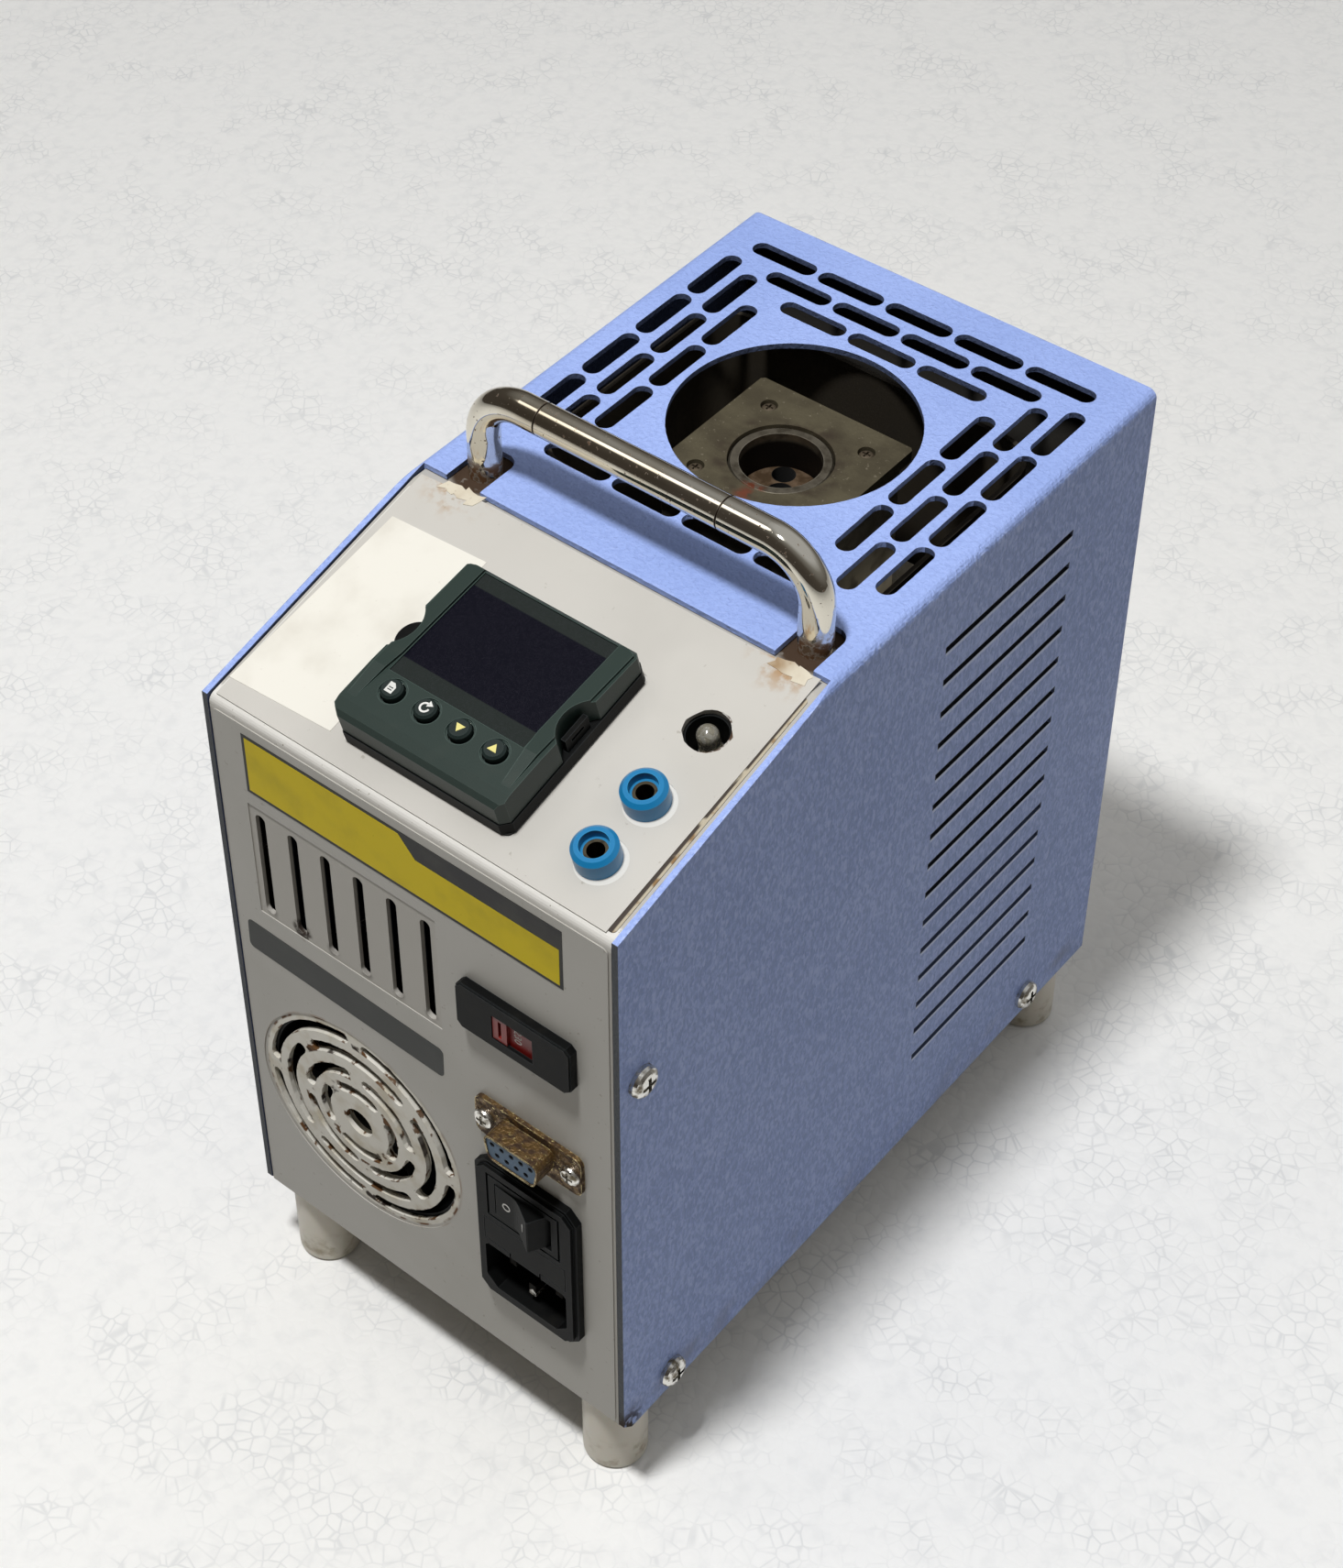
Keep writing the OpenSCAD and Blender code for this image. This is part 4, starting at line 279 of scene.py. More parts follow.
def grille_edges(finish, reach):
    """A mask round the edges of the fan grille's ring slots and its centre hole."""
    away = finish.add("ShaderNodeVectorMath", {1: (FAN[0], 0.0, FAN[1])}, {0: finish.place},
                      operation="SUBTRACT").outputs[0]
    flat = finish.add("ShaderNodeVectorMath", {1: FROM_FRONT}, {0: away}, operation="MULTIPLY").outputs[0]
    radius = finish.add("ShaderNodeVectorMath", links={0: flat}, operation="LENGTH").outputs["Value"]
    half = 1.5 + reach
    mask = None
    for ring in GRILLE_RINGS:
        band = finish.within(radius, ring - half, ring + half, 2 * reach)
        mask = band if mask is None else finish.combine(mask, band, "MAXIMUM")
    return mask, radius


def slot_ends(finish):
    """A mask round the lower ends of the upright slots, strongest at the worst one."""
    mask = None
    for k, x in enumerate(SLOTS_X):
        worst = k == WORST_SLOT
        band = finish.near((x, 0.5, SLOT_LOW + 1.0), 2.8 if worst else 1.9, 1.6)
        band = band if worst else finish.combine(band, 0.45)
        mask = band if mask is None else finish.combine(mask, band, "MAXIMUM")
    return mask


def leg_rust(finish):
    """Dark rust in the notches round the handle's two legs."""
    for x in LEGS_X:
        pit = finish.near((x, LEG_Y, CASE_H - 1.0), 8.5, 3.0)
        finish.layer(finish.combine(pit, finish.patches(3, 0.25, 0.42, 4.0, 6.0)), "#3E2C1C", Roughness=0.9)


def grey_enamel():
    """Air-dried grey enamel on the folded chassis: rust creeps from its cut edges, and bends are rubbed."""
    paint = Finish("grey_enamel", "#B6B3AC", 0.45)
    front = paint.within(paint.y, -5.0, 4.0, 1.0)
    # the dome was left white: it is stained, and rusts from the edges of its slots
    rings, radius = grille_edges(paint, 0.2)
    dome = paint.combine(paint.within(radius, -1.0, DOME_R, 0.6), front)
    paint.layer(dome, "#E4E1D7")
    paint.layer(paint.combine(dome, paint.combine(paint.patches(7, 0.45, 0.7, 4.0, 8.0), 0.6)), "#B7AA8A")
    cuts = paint.combine(rings, front)
    paint.layer(paint.combine(cuts, paint.patches(4, 0.55, 0.6, 5.0, 1.0)), RUST, Roughness=0.85)
    paint.layer(paint.combine(cuts, paint.patches(7, 0.6, 0.66, 5.0, 2.0)), DARK_RUST, Roughness=0.95)
    # the dome's rim is stained where water has run down it
    rim = paint.combine(paint.within(radius, DOME_R - 0.3, DOME_R + 0.3, 0.5),
                        paint.patches(6, 0.5, 0.62, 4.0, 6.0))
    paint.layer(paint.combine(rim, front), "#6B4526", Roughness=0.9)
    ends = paint.combine(slot_ends(paint), paint.patches(2.4, 0.38, 0.6, 3.0, 3.0))
    paint.layer(ends, DARK_RUST, Roughness=0.9)
    # the bend between front and slope: chalky white with speckles and two chips
    bend = paint.combine(paint.within(paint.z, BEND_Z - 3.5, BEND_Z + 2.5, 1.0), front)
    paint.layer(bend, "#DEDCD6", Roughness=0.6)
    paint.layer(paint.combine(bend, paint.patches(1.0, 0.67, 0.73, 3.0, 4.0)), "#8E8676")
    for x, size in BEND_CHIPS:
        chip = paint.near((x, 0.3, BEND_Z + 1.6), size, 0.8)
        paint.layer(paint.combine(chip, paint.patches(1.2, 0.36, 0.5, 3.0, 7.0)), DARK_RUST, Roughness=0.9)
    leg_rust(paint)
    # inside, the sheet is dull, and painted shade darkens it
    painted_inner_shade = paint.combine(1.0, paint.outward(INSIDE), "SUBTRACT")
    paint.layer(paint.combine(painted_inner_shade, paint.within(paint.y, 1.3, 400.0, 0.1)), "#35322D", Roughness=0.9)
    paint.grain(0.9, 0.05)
    return paint.material


def front_vinyl():
    """Grey screen-printed vinyl with a satin face, stained brown round the openings behind it."""
    vinyl = Finish("grey_front_vinyl", "#BAB8B2", 0.42)
    vinyl.layer(vinyl.patches(40, 0.4, 0.7, 3.0), "#B2B0A9")
    vinyl.layer(vinyl.combine(vinyl.patches(1.6, 0.66, 0.74, 3.0, 1.0), 0.6), "#8F887A")
    _, radius = grille_edges(vinyl, 0.5)
    rim = vinyl.combine(vinyl.within(radius, DOME_R + 0.2, DOME_R + 0.9, 0.5),
                        vinyl.patches(8, 0.4, 0.7, 4.0, 2.0))
    vinyl.layer(vinyl.combine(rim, 0.6), "#8A6A48", Roughness=0.6)
    ends = vinyl.combine(slot_ends(vinyl), vinyl.patches(2.6, 0.42, 0.66, 3.0, 3.0))
    vinyl.layer(ends, "#5A4128", Roughness=0.8)
    vinyl.grain(0.5, 0.012)
    return vinyl.material


def slope_backing():
    """The white painted panel round the printed label, with aged glue and rust crept from the handle."""
    paint = Finish("white_slope_enamel", "#DAD8D2", 0.45)
    # the bare strip beside the label, with its line of glue
    strip = paint.within(paint.x, LABEL_RIGHT, CASE_W / 2, 0.5)
    paint.layer(strip, "#B8AE97", Roughness=0.6)
    paint.layer(paint.combine(strip, paint.patches(4, 0.5, 0.62, 4.0, 5.0)), "#8A6A3E", Roughness=0.6)
    glue = paint.combine(paint.within(paint.x, LABEL_RIGHT, LABEL_RIGHT + 1.3, 0.3),
                         paint.patches(7, 0.34, 0.44, 4.0, 1.0))
    paint.layer(glue, "#33261A", Roughness=0.6)
    for x in LEGS_X:
        leg = paint.near((x, LEG_Y - 5.0, CASE_H - 1.5), 9.0, 8.0)
        paint.layer(paint.combine(leg, paint.patches(5, 0.4, 0.6, 5.0, 2.0)), "#9C6A34", Roughness=0.8)
    leg_rust(paint)
    lamp = SLOPE @ Vector((JACK_X, LAMP_V, 0)) / MM - COVER_LOW / MM
    ring = paint.near((JACK_X, lamp.y, lamp.z), 6.2, 1.4)
    paint.layer(paint.combine(ring, paint.patches(2, 0.4, 0.55, 4.0, 3.0)), "#4A3422", Roughness=0.9)
    paint.grain(0.9, 0.03)
    return paint.material


def slope_vinyl():
    """Warm light grey printed vinyl label, rubbed and faintly speckled."""
    vinyl = Finish("light_grey_slope_vinyl", "#C9C6BF", 0.4)
    vinyl.layer(vinyl.patches(30, 0.4, 0.7, 3.0), "#C2BFB8")
    vinyl.layer(vinyl.combine(vinyl.patches(1.8, 0.68, 0.74, 3.0, 1.0), 0.5), "#948D80")
    for x in LEGS_X:
        leg = vinyl.near((x, LEG_Y - 6.0, CASE_H - 2.0), 8.0, 10.0)
        vinyl.layer(vinyl.combine(leg, vinyl.patches(4, 0.45, 0.6, 5.0, 2.0)), "#A98250", Roughness=0.7)
    vinyl.grain(0.5, 0.012)
    return vinyl.material


def metal(name, colour, roughness, stain, stain_size, cover=(0.5, 0.7), metallic=1.0, grain=(0.4, 0.01)):
    """A metal surface with patches of a duller stain over it."""
    finish = Finish(name, colour, roughness, Metallic=metallic)
    finish.layer(finish.patches(stain_size, *cover, 4.0), stain, Roughness=min(1.0, roughness + 0.25),
                 Metallic=metallic * 0.6)
    finish.grain(*grain)
    return finish.material


def nickel_plate():
    """Nickel-plated screws, nuts and pins; painted shade darkens the inlet's two live pins in their cavity.
    """
    nickel = Finish("nickel_plated_steel", "#DEDCD6", 0.14, Metallic=1.0)
    nickel.layer(nickel.patches(2.0, 0.45, 0.65, 4.0), "#6E6450", Roughness=0.45, Metallic=0.7)
    # painted shade: the two live pins are painted near black where they sit in the inlet's dark cavity
    for side in (-LIVE_PIN_X, LIVE_PIN_X):
        painted_pin_shade = nickel.near((INLET_X + side, 8.0, CAVITY_Z + 3.0), 9.0, 0.5, FROM_FRONT)
        nickel.layer(painted_pin_shade, "#16130F", Roughness=0.8)
    nickel.grain(0.4, 0.02)
    return nickel.material


def pitted_chrome():
    """Bright chromium plate on steel bar, pitted brown, with a thin dark joint at each end of the tube."""
    chrome = Finish("pitted_chrome_plate", "#DDD8CB", 0.06, Metallic=1.0)
    chrome.layer(chrome.patches(22, 0.4, 0.75, 4.0), "#C9C0AE", Roughness=0.12)
    pits = chrome.patches(0.8, 0.66, 0.71, 2.0, 1.0)
    chrome.layer(pits, "#5A4330", Roughness=0.7, Metallic=0.3)
    low_x, high_x = (corner.x / MM for corner in map(Vector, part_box("handle_tube")))
    for x in (low_x, high_x):
        chrome.layer(chrome.within(chrome.x, x - 0.25, x + 0.25, 0.2), "#2E241B", Roughness=0.6)
    foot = chrome.within(chrome.z, 180.0, CASE_H + 4.0, 5.0)
    chrome.layer(chrome.combine(foot, chrome.patches(2.2, 0.42, 0.58, 4.0, 2.0)), "#6B4A2C", Roughness=0.8,
                 Metallic=0.2)
    return chrome.material


def moulded(name, colour, roughness, edge, grain=(0.35, 0.02), **sockets):
    """Injection-moulded plastic with a fine spark-eroded texture, lighter along its edges, partly where
    they are rubbed and partly as a painted highlight.
    """
    plastic = Finish(name, colour, roughness, **sockets)
    # lighter edges: partly rubbed wear, partly a painted highlight
    plastic.layer(plastic.combine(plastic.edges(0.35), 0.7), edge, Roughness=max(0.2, roughness - 0.1))
    plastic.layer(plastic.combine(plastic.patches(6, 0.5, 0.75, 4.0), 0.02), DUST,
                  Roughness=min(1.0, roughness + 0.15))
    plastic.grain(*grain)
    return plastic.material


def tinted_window():
    """The controller's smoked acrylic: a navy screen between two brown-black masks, finely scratched."""
    acrylic = Finish("smoked_acrylic", "#0A0A16", 0.35, Specular_IOR_Level=0.12)
    up_slope = (0.0, math.cos(SLOPE_ANGLE), math.sin(SLOPE_ANGLE))
    up = acrylic.add("ShaderNodeVectorMath", {1: up_slope}, {0: acrylic.place},
                     operation="DOT_PRODUCT").outputs["Value"]
    v = acrylic.combine(up, -BEND_Z * math.sin(SLOPE_ANGLE), "ADD")
    for low, high in SCREEN_MASKS:
        acrylic.layer(acrylic.within(v, low, high, 0.3), "#252A28")
    # hair scratches are finer than the eye resolves, so they wander over about 3 mm and are drawn coarser
    hairs = {"Scale": 0.35, "Detail": 5.0, "Roughness": 0.8, "Distortion": 2.5}
    scratches = acrylic.add("ShaderNodeTexNoise", hairs, {"Vector": acrylic.place})
    hair = acrylic.within(scratches.outputs["Fac"], 0.497, 0.503, 0.006)
    acrylic.layer(acrylic.combine(hair, 0.35), "#5C5A66", Roughness=0.5)
    return acrylic.material


def serial_insulator():
    """Dusty blue thermoplastic with nine contact holes in two rows, painted as dark discs of shade."""
    blue = Finish("dusty_blue_thermoplastic", "#4C6680", 0.55)
    blue.layer(blue.patches(4, 0.45, 0.7, 4.0), "#5E7386", Roughness=0.7)
    # painted shade: each contact hole is a near-black disc
    for count, z in ((5, SERIAL_Z + CONTACT_ROW), (4, SERIAL_Z - CONTACT_ROW)):
        for k in range(count):
            x = SERIAL_X + (k - (count - 1) / 2) * CONTACT_PITCH
            blue.layer(blue.near((x, 0.0, z), 0.7, 0.15, FROM_FRONT), "#10161D", Roughness=0.9)
    blue.grain(0.35, 0.02)
    return blue.material


def tarnished_shell():
    """Tin-plated steel shell gone gold-brown with rust, bright only where its corners are rubbed."""
    shell = Finish("rusted_tin_plate", "#6B5330", 0.4, Metallic=0.6)
    shell.layer(shell.patches(2.2, 0.4, 0.6, 5.0), "#3C2814", Roughness=0.8, Metallic=0.2)
    rubbed = shell.combine(shell.edges(0.4), shell.patches(2.0, 0.42, 0.56, 3.0, 1.0))
    shell.layer(rubbed, "#E6D6A0", Roughness=0.25, Metallic=0.9)
    shell.layer(shell.patches(0.7, 0.64, 0.7, 2.0, 3.0), "#C9B880", Roughness=0.3, Metallic=0.9)
    shell.grain(0.8, 0.3)
    return shell.material


def scorched_plate():
    """Steel plate that has been hot for years: grey-bronze scale, rough, darker round the well."""
    plate = Finish("scorched_steel", "#625B47", 0.6, Metallic=0.5)
    plate.layer(plate.patches(9, 0.35, 0.65, 5.0), "#4F4837", Roughness=0.75)
    plate.layer(plate.combine(plate.patches(0.8, 0.64, 0.72, 3.0, 1.0), 0.5), "#9A917E", Roughness=0.5)
    scorch = plate.near((*WELL, PLATE_Z - 2.5), 16.0, 5.0)
    plate.layer(plate.combine(scorch, plate.patches(5, 0.4, 0.7, 3.0, 2.0)), "#40362A")
    stain = plate.near((0.8, WELL[1] - 15.0, PLATE_Z - 1.0), 2.2, 3.0)
    plate.layer(plate.combine(stain, plate.patches(2.5, 0.36, 0.56, 3.0, 4.0)), RED_SCALE, Roughness=0.8)
    plate.grain(1.1, 0.12, 4.0)
    return plate.material


def well_steel():
    """Turned stainless tube, blued and browned by heat, with a reddish stain on one side of the rim."""
    tube = Finish("heat_tinted_stainless", "#857E70", 0.38, Metallic=0.9)
    tube.layer(tube.patches(4, 0.4, 0.7, 4.0), "#4F483C", Roughness=0.5)
    red = tube.near((0.8, WELL[1] - 13.0, RIM_Z), 3.5, 3.0)
    tube.layer(tube.combine(red, tube.patches(2, 0.4, 0.6, 3.0, 1.0)), RED_SCALE, Roughness=0.7)
    rubbed = tube.combine(tube.edges(0.4), tube.patches(4, 0.36, 0.55, 3.0, 3.0))
    tube.layer(rubbed, "#D9D2C0", Roughness=0.25)
    tube.layer(tube.within(tube.z, 0.0, RIM_Z - 2.0, 1.5), "#221D19", Roughness=0.7)
    tube.grain(0.5, 0.02)
    return tube.material


def browned_insert():
    """Turned bronze browned by heat, with painted shade black down its two bores."""
    bronze = Finish("browned_bronze", "#86705A", 0.5, Metallic=0.8)
    bronze.layer(bronze.patches(3, 0.35, 0.6, 4.0), "#54422F", Roughness=0.7)
    # painted shade: the two bores are painted black
    for (x, y), r in (((0.0, 0.0), 3.3), (SIDE_BORE, 2.9)):
        painted_bore_shade = bronze.near((WELL[0] + x, WELL[1] + y, 0.0), r, 0.1, FROM_ABOVE)
        bronze.layer(painted_bore_shade, "#060504", Roughness=1.0, Metallic=0.0)
    bronze.grain(0.5, 0.03)
    return bronze.material


def fibre_felt():
    """Needled ceramic-fibre felt, off-white and matted."""
    felt = Finish("ceramic_fibre_felt", "#CFC8B6", 0.95, Sheen_Weight=0.2)
    felt.layer(felt.patches(12, 0.4, 0.7, 4.0), "#B3A88F")
    felt.grain(1.6, 0.6, 5.0, 0.7)
    return felt.material


def clear_epoxy():
    """The lamp's clear cast epoxy, with a bright cup inside that shows through it."""
    epoxy = Finish("clear_cast_epoxy", "#F4F0E2", 0.06, Transmission_Weight=0.75, IOR=1.54)
    epoxy.layer(epoxy.patches(1.4, 0.45, 0.55, 1.0), "#D9D2BC", Roughness=0.3)
    return epoxy.material


def ivory_nylon():
    """Turned ivory nylon, a little see-through and grubby near the floor."""
    nylon = Finish("turned_ivory_nylon", "#F0EBDE", 0.42, Subsurface_Weight=0.12, Subsurface_Scale=0.004)
    grubby = nylon.within(nylon.z, FLOOR_Z - 0.5, FLOOR_Z + 8.5, 9.0)
    nylon.layer(nylon.combine(grubby, nylon.patches(4, 0.45, 0.7, 4.0)), "#B7AC94")
    nylon.grain(0.8, 0.02)
    return nylon.material


def printed(name, colour, worn, roughness=0.4):
    """A thin printed vinyl label, rubbed in small patches."""
    vinyl = Finish(name, colour, roughness, Specular_IOR_Level=0.15)
    vinyl.layer(vinyl.patches(14, 0.45, 0.75, 4.0), worn)
    vinyl.layer(vinyl.combine(vinyl.patches(0.9, 0.66, 0.74, 3.0, 1.0), 0.6), worn, Roughness=0.6)
    vinyl.grain(0.5, 0.01)
    return vinyl.material


FINISHES = {
    "cover_paint": wrinkle_powder_coat(),
    "panel_paint": grey_enamel(),
    "front_print": front_vinyl(),
    "slope_print": slope_backing(),
    "bright_steel": nickel_plate(),
    # blued and sooty from the heat, almost without shine
    "dark_steel": metal("heat_blackened_steel", "#5C5142", 0.6, "#3A3126", 2.0, metallic=0.6),
    "foot_rubber": ivory_nylon(),
    "handle_chrome": pitted_chrome(),
    # moulded matt: black, hardly a highlight, greyed along its edges by rubbing and by a painted highlight
    "black_plastic": moulded("black_polyamide", "#0D0E0E", 0.5, "#3E4244", Specular_IOR_Level=0.08),
    # the same dark green plastic twice: pale along its edges, partly rubbed and partly a painted highlight,
    # and darker where fingers press
    "bezel_plastic": moulded("dark_green_abs", "#26342F", 0.45, "#5A6C66", Specular_IOR_Level=0.3),
    "key_plastic": moulded("dark_green_key_abs", "#1D2826", 0.4, "#4B5B57", Specular_IOR_Level=0.3),
    "screen_plastic": tinted_window(),
    # resin over a green mask: even and slightly glossy
    "board_laminate": moulded("green_glass_epoxy_laminate", "#2E6B3E", 0.5, "#3F7F50"),
    # moulded rubber: a flat dark grey
    "gasket_rubber": moulded("black_nitrile_rubber", "#242424", 0.75, "#333333"),
    # moulded in a polished tool: a clear blue with soft highlights
    "socket_plastic": moulded("blue_polyamide", "#157AB0", 0.3, "#3FA4D2", (0.5, 0.01)),
    "blue_plastic": serial_insulator(),
    # moulded: a deep red with a satin face
    "red_plastic": moulded("dark_red_polyamide", "#7E1A16", 0.4, "#A83A30"),
    "clear_plastic": clear_epoxy(),
    # turned and gilt, gone dark: brown-black with a dull shine
    "contact_brass": metal("dark_gilt_brass", "#4B4538", 0.5, "#2A241B", 2.0),
    "shell_brass": tarnished_shell(),
    # pressed and plated: bright grey
    "fuse_glass": metal("nickel_plated_fuse_caps", "#CFCFC8", 0.25, "#A8A498", 2.0),
    # milled, then dulled by heat: a chalky warm grey
    "block_aluminium": metal("heat_dulled_aluminium", "#A9A49A", 0.5, "#867D6E", 8.0, grain=(0.8, 0.05)),
    "plate_metal": scorched_plate(),
    "well_metal": well_steel(),
    "insert_metal": browned_insert(),
    # fired with a glaze: cream and smooth
    "ceramic": moulded("glazed_steatite", "#D6D1C2", 0.35, "#E4E0D4"),
    "fibre": fibre_felt(),
    # rolled and galvanised: dull brown-grey with cloudy patches
    "shield_steel": metal("dull_galvanised_sheet", "#453F35", 0.6, "#2C261E", 14.0, (0.4, 0.65), 0.6,
                          (1.2, 0.04)),
}
LABEL_GREY = slope_vinyl()
LABEL_WHITE = printed("white_vinyl_sticker", "#E9E6DC", "#DDD9CE")
LABEL_YELLOW = printed("yellow_vinyl_label", "#E6CE00", "#D2BC02")
LABEL_BLACK = printed("black_vinyl_print", "#232324", "#3A3935")
LABEL_SLATE = printed("slate_vinyl_bar", "#343634", "#3E403D")
TORN_PAPER = printed("torn_label_paper", "#D9D1BE", "#8E6A3A", 0.8)
PAD_WHITE = printed("white_pad_print", "#E6E6E2", "#C9C9C4")
PAD_YELLOW = printed("pale_yellow_pad_print", "#E4DA8A", "#CFC57C")


def paint_model():
    """Every node of the model takes the finish of its own material slot."""
    slot_of = {part["node"]: part["material_slot"] for part in frame["record"]["subparts"]}
    for name, node in NODES.items():
        for material_slot in node.material_slots:
            material_slot.link = "OBJECT"
            material_slot.material = FINISHES[slot_of[name]]


# ---------------------------------------------------------------- thin pieces on the faces
def flat_piece(name, plane, loops, thickness, finish, lift=0.0, body="case"):
    """A thin sheet cut to closed outlines in millimetres; outlines inside the first are holes."""
    curve = bpy.data.curves.new(name, "CURVE")
    curve.dimensions = "2D"
    curve.fill_mode = "BOTH"
    curve.extrude = thickness / 2
    for loop in loops:
        spline = curve.splines.new("POLY")
        spline.points.add(len(loop) - 1)
        for point, (x, y) in zip(spline.points, loop):
            point.co = (x, y, 0, 1)
        spline.use_cyclic_u = True
    return settle(name, curve, plane @ Matrix.Translation((0, 0, lift + thickness / 2)), finish, body)


def settle(name, curve, place, finish, body):
    """Turns a curve into a mesh in its place, with its finish and the body that it rides on."""
    drawing = bpy.data.objects.new(name + "_drawing", curve)
    bpy.context.collection.objects.link(drawing)
    bpy.context.view_layer.update()
    mesh = bpy.data.meshes.new_from_object(drawing.evaluated_get(bpy.context.evaluated_depsgraph_get()))
    bpy.data.objects.remove(drawing)
    mesh.transform(place)
    mesh.materials.clear()
    mesh.materials.append(finish)
    mesh.name = name
    piece = bpy.data.objects.new(name, mesh)
    bpy.context.collection.objects.link(piece)
    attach(piece, body)
    return piece


def circle(x, y, r, steps=48):
    """The outline of a circle about its middle."""
    turns = [2 * math.pi * k / steps for k in range(steps)]
    return [(x + r * math.cos(a), y + r * math.sin(a)) for a in turns]


def rectangle(x, y, w, h, r=0.0, turn=0.0):
    """A rectangle about its middle with rounded corners, turned by an angle in degrees."""
    steps = 4
    points = []
    for k, (sx, sy) in enumerate(((1, 1), (-1, 1), (-1, -1), (1, -1))):
        for step in range(steps + 1 if r else 1):
            a = math.radians(90 * (k + step / steps))
            points.append((sx * (w / 2 - r) + r * math.cos(a), sy * (h / 2 - r) + r * math.sin(a)))
    c, s = math.cos(math.radians(turn)), math.sin(math.radians(turn))
    return [(x + c * dx - s * dy, y + s * dx + c * dy) for dx, dy in points]


def scatter(k, seed):
    """A number from -0.5 to 0.5 that looks random and is the same in every run."""
    return math.sin(12.9898 * k + seed) * 43758.5453 % 1.0 - 0.5


def ragged(points, reach, seed):
    """An outline torn along its length: extra points that wander by up to half a reach."""
    spacing = 1.2
    torn = []
    for i, (a, b) in enumerate(zip(points, points[1:] + points[:1])):
        steps = max(1, int(math.dist(a, b) / spacing))
        for k in range(steps):
            t = k / steps
            wander = reach * scatter(i * 17 + k, seed)
            x, y = a[0] + t * (b[0] - a[0]), a[1] + t * (b[1] - a[1])
            torn.append((x + wander, y - wander * math.cos(seed + k)))
    return torn


def front_labels():
    """The plain yellow label with its black frame and tab, and the slate bar over the grille."""
    low, high, left, right = 149.8, 167.8, -47.4, 43.9
    frame_w, frame_t, face_t, bar_t = 0.9, 0.08, 0.04, 0.06
    tab_top, tab_foot, tab_z = -1.2, 3.4, 161.7
    outline = [(left, low), (right, low), (right, high), (left, high)]
    flat_piece("yellow_label_frame", FRONT, [outline], frame_t, LABEL_BLACK)
    yellow = [(left + frame_w, low + frame_w), (right - frame_w, low + frame_w), (right - frame_w, tab_z),
              (tab_foot, tab_z), (tab_top, high - frame_w), (left + frame_w, high - frame_w)]
    flat_piece("yellow_label_face", FRONT, [yellow], face_t, LABEL_YELLOW, frame_t)
    bar = rectangle(-22.9, 98.3, 60.7, 9.7, r=1.5, turn=-1.6)
    flat_piece("slate_bar", FRONT, [bar], bar_t, LABEL_SLATE)


def slope_labels():
    """The printed label of the slope with its cut-outs, the white sticker and the torn corners."""
    t, sticker_t, scrap_t = 0.2, 0.12, 0.15
    outline = [(-55.5, 1.5), (LABEL_RIGHT + 0.3, 1.5), (LABEL_RIGHT + 1.0, 74.0), (38.0, 73.2),
               (-38.0, 73.2), (-55.5, 72.0)]
    holes = [rectangle(0, CONTROLLER_V, 47.6, 47.6, 1.5)]
    holes += [circle(JACK_X + 0.9, v - 0.2, 5.9) for v in JACKS_V]
    holes.append(ragged(circle(JACK_X + 0.4, LAMP_V, 5.4, 24), 0.7, 2.0))
    flat_piece("slope_label", SLOPE, [outline] + holes, t, LABEL_GREY)
    sticker = [(-55.9, 6.3), (-26.8, 7.6), (-26.3, 60.4), (-53.3, 59.2)]
    flat_piece("white_sticker", SLOPE, [sticker], sticker_t, LABEL_WHITE, t)
    for k, x in enumerate(LEGS_X):
        scrap = [(x - 4.5, 71.4), (x + 5.5, 70.6), (x + 6.5, 73.8), (x - 3.0, 74.2)]
        torn = ragged(scrap, 1.6, 3.0 + k)
        flat_piece(f"torn_label_{k + 1}", SLOPE, [torn], scrap_t, TORN_PAPER, t)


def top_of(node, plane):
    """How far a node reaches out of a face, in millimetres."""
    back = plane.inverted()
    return max((back @ vertex.co).z for vertex in NODES[node].data.vertices)


def key_marks():
    """Pad-printed marks on the four keys: a sheet, a turning arrow, and two triangles."""
    v = CONTROLLER_V - 13.4   # the row of keys
    pitch, t = 9.5, 0.05
    page, scroll, down, up = ((k - 1.5) * pitch for k in range(4))
    top = top_of("page_key", SLOPE)
    sheet = [(page - 1.0, v - 1.3), (page + 1.0, v - 1.3), (page + 1.0, v + 0.5), (page + 0.2, v + 1.3),
             (page - 1.0, v + 1.3)]
    line = [rectangle(page, v - 0.55, 1.2, 0.25), rectangle(page, v + 0.05, 1.2, 0.25)]
    flat_piece("page_mark", SLOPE, [sheet] + line, t, PAD_WHITE, top, "page_button")
    r_out, r_in = 1.3, 0.85
    arc = [math.radians(60 + 12 * k) for k in range(26)]
    ring = [(scroll + r_out * math.cos(a), v + r_out * math.sin(a)) for a in arc]
    ring += [(scroll + r_in * math.cos(a), v + r_in * math.sin(a)) for a in reversed(arc)]
    flat_piece("scroll_mark", SLOPE, [ring], t, PAD_WHITE, top, "scroll_button")
    head = [(scroll + 0.2, v + 1.95), (scroll + 1.5, v + 1.05), (scroll + 0.1, v + 0.3)]
    flat_piece("scroll_arrow_mark", SLOPE, [head], t, PAD_WHITE, top, "scroll_button")
    for x, side, body in ((down, -1, "down_button"), (up, 1, "up_button")):
        triangle = [(x - 1.2, v - side * 0.8), (x + 1.2, v - side * 0.8), (x, v + side * 1.1)]
        flat_piece(body.split("_")[0] + "_mark", SLOPE, [triangle], t, PAD_YELLOW, top, body)


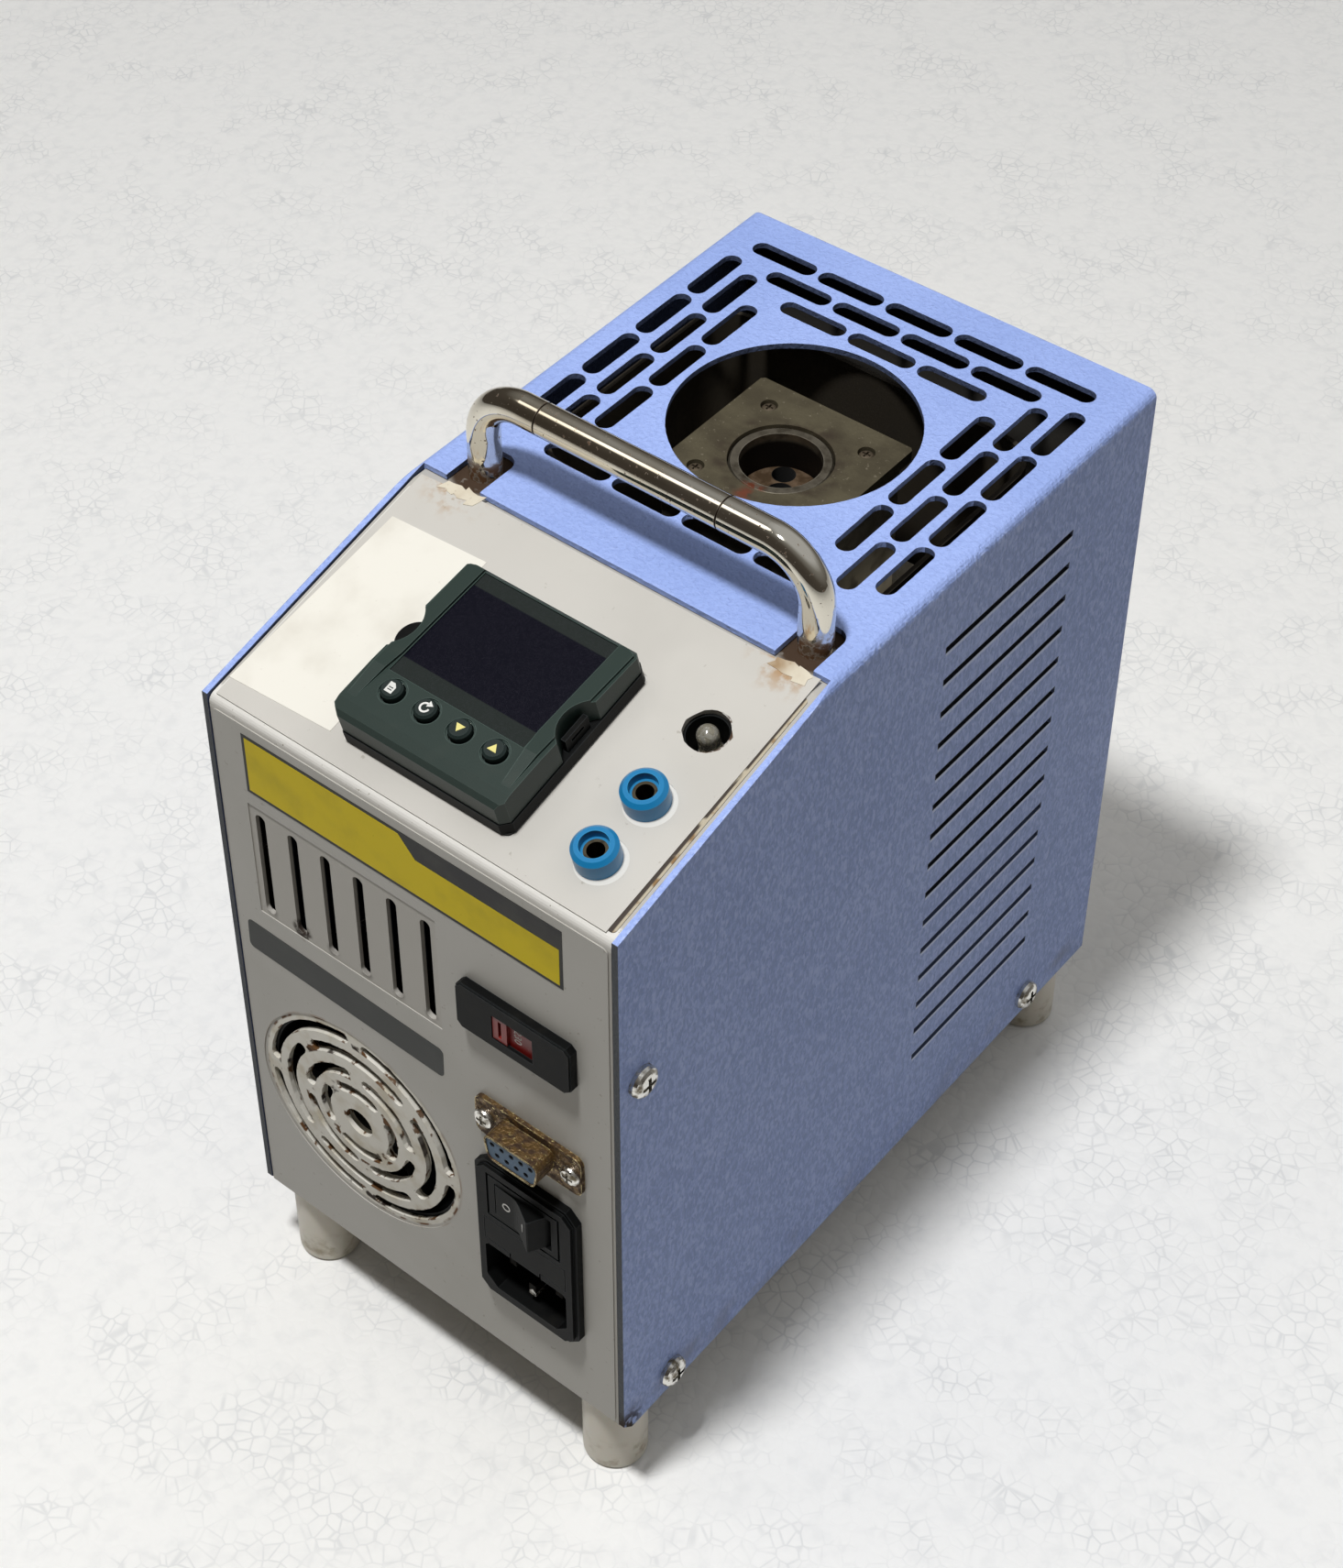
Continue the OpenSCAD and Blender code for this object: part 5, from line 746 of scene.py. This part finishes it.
def rocker_marks():
    """The pad-printed O and I on the two halves of the mains rocker."""
    tilt, pivot_out = math.radians(16.0), -1.6
    # each half's flat face starts beside the rocker's middle and rises at a slant
    valley_x, valley_out, lean = 1.8, 5.64, math.radians(15.0)
    for x, name, loops in ((-3.1, "off_mark", [circle(0, 0, 1.2, 32), circle(0, 0, 0.85, 32)]),
                           (3.6, "on_mark", [rectangle(0, 0, 0.35, 2.6)])):
        out = valley_out + (abs(x) - valley_x) * math.tan(lean) + 0.02
        seat = Matrix.Translation((INLET_X, ROCKER_Z, pivot_out)) @ Matrix.Rotation(-tilt, 4, "Y")
        seat = seat @ Matrix.Translation((x, 0, out)) @ Matrix.Rotation(-math.copysign(lean, x), 4, "Y")
        flat_piece(name, FRONT @ seat, loops, 0.05, PAD_WHITE, 0.0, "rocker")


def selector_number():
    """The plain number on the selector's slide, turned on its side."""
    text = bpy.data.curves.new("voltage_number", "FONT")
    text.body = "230"
    text.size = 2.9
    text.extrude = 0.03
    text.align_x = text.align_y = "CENTER"
    seat = Matrix.Translation((SELECTOR_X + 0.6, SELECTOR_Z - 0.4, 1.28))
    seat = seat @ Matrix.Rotation(-math.pi / 2, 4, "Z")
    settle("voltage_number", text, FRONT @ seat, PAD_WHITE, "slider")


# ---------------------------------------------------------------- camera, light and stage
def set_camera():
    """A phone held above the front right corner, looking down into the well."""
    camera = bpy.data.objects.new("camera", bpy.data.cameras.new("camera"))
    camera.location = (0.3199, -0.4083, 0.6632)
    camera.rotation_euler = Euler([math.radians(a) for a in (48.336, 1.740, 40.603)])
    camera.data.lens = 70.73
    camera.data.sensor_width = 36
    camera.data.shift_x = 0.0971
    camera.data.shift_y = -0.1390
    camera.data.clip_start = 0.01
    bpy.context.collection.objects.link(camera)
    bpy.context.scene.camera = camera


def set_light():
    """A lamp overhead, and a room that is darker to the front and low down, with a bright skylight."""
    lamp = bpy.data.objects.new("overhead", bpy.data.lights.new("overhead", "AREA"))
    lamp.data.shape = "DISK"
    lamp.data.size = 0.16
    lamp.data.energy = 16
    lamp.location = (-0.02, -0.4, 1.5)
    lamp.rotation_euler = (Vector((0, 0, 0.1)) - lamp.location).to_track_quat("-Z", "Y").to_euler()
    bpy.context.collection.objects.link(lamp)
    world = bpy.data.worlds.new("room")
    bpy.context.scene.world = world
    world.use_nodes = True
    tree = world.node_tree
    way = add(tree, "ShaderNodeTexCoord").outputs["Generated"]
    bright_side, skylight = (0.25, 0.4, 0.88), (-0.46, -0.2, 0.865)
    lean = add(tree, "ShaderNodeVectorMath", {1: bright_side}, {0: way}, operation="DOT_PRODUCT")
    height = add(tree, "ShaderNodeMapRange", {"From Min": -1.0, "From Max": 1.0},
                 {"Value": lean.outputs["Value"]})
    walls = ((0.0, "#5E5750"), (0.5, "#5E5750"), (0.66, "#6A635B"), (0.82, "#A9A6A1"), (0.92, "#F4F5F7"))
    sky = add(tree, "ShaderNodeValToRGB", links={"Fac": height.outputs[0]}, stops=walls)
    aim = add(tree, "ShaderNodeVectorMath", {1: skylight}, {0: way}, operation="DOT_PRODUCT")
    pane = add(tree, "ShaderNodeMapRange", {"From Min": 0.984, "From Max": 0.994, "To Max": 6.0},
               {"Value": aim.outputs["Value"]})
    light = add(tree, "ShaderNodeMath", {0: 0.5}, {1: pane.outputs[0]}, operation="ADD")
    tree.links.new(sky.outputs["Color"], tree.nodes["Background"].inputs["Color"])
    tree.links.new(light.outputs[0], tree.nodes["Background"].inputs["Strength"])


def set_stage():
    """A white foam board that carries the shadow."""
    half = 3.0
    mesh = bpy.data.meshes.new("foam_board")
    corners = [(-half, -half, 0), (half, -half, 0), (half, half, 0), (-half, half, 0)]
    mesh.from_pydata(corners, [], [(0, 1, 2, 3)])
    board = bpy.data.objects.new("foam_board", mesh)
    foam = Finish("expanded_polystyrene", "#FBFBF9", 0.75)
    bead = 4.0
    cells = foam.add("ShaderNodeTexVoronoi", {"Scale": 1 / bead}, {"Vector": foam.place},
                     feature="DISTANCE_TO_EDGE").outputs["Distance"]
    foam.relief(cells, 0.3)
    seams = foam.combine(foam.within(cells, -1.0, 0.05, 0.08), foam.patches(16, 0.4, 0.7, 3.0))
    foam.layer(foam.combine(seams, 0.4), "#C6C9CC")
    foam.layer(foam.combine(foam.patches(6, 0.45, 0.7, 4.0), 0.2), "#DADCDE")
    # seen and mirrored as white foam; as a light on the object, no brighter than a worn bench top
    ray = foam.add("ShaderNodeLightPath")
    seen = foam.combine(foam.combine(ray.outputs["Is Camera Ray"], ray.outputs["Is Glossy Ray"], "MAXIMUM"),
                        ray.outputs["Is Transmission Ray"], "MAXIMUM")
    foam.layer(foam.combine(1.0, seen, "SUBTRACT"), "#9E9C96")
    mesh.materials.append(foam.material)
    bpy.context.collection.objects.link(board)


set_camera()
set_light()
set_stage()
paint_model()
front_labels()
slope_labels()
key_marks()
rocker_marks()
selector_number()
bpy.context.scene.view_settings.view_transform = "Standard"
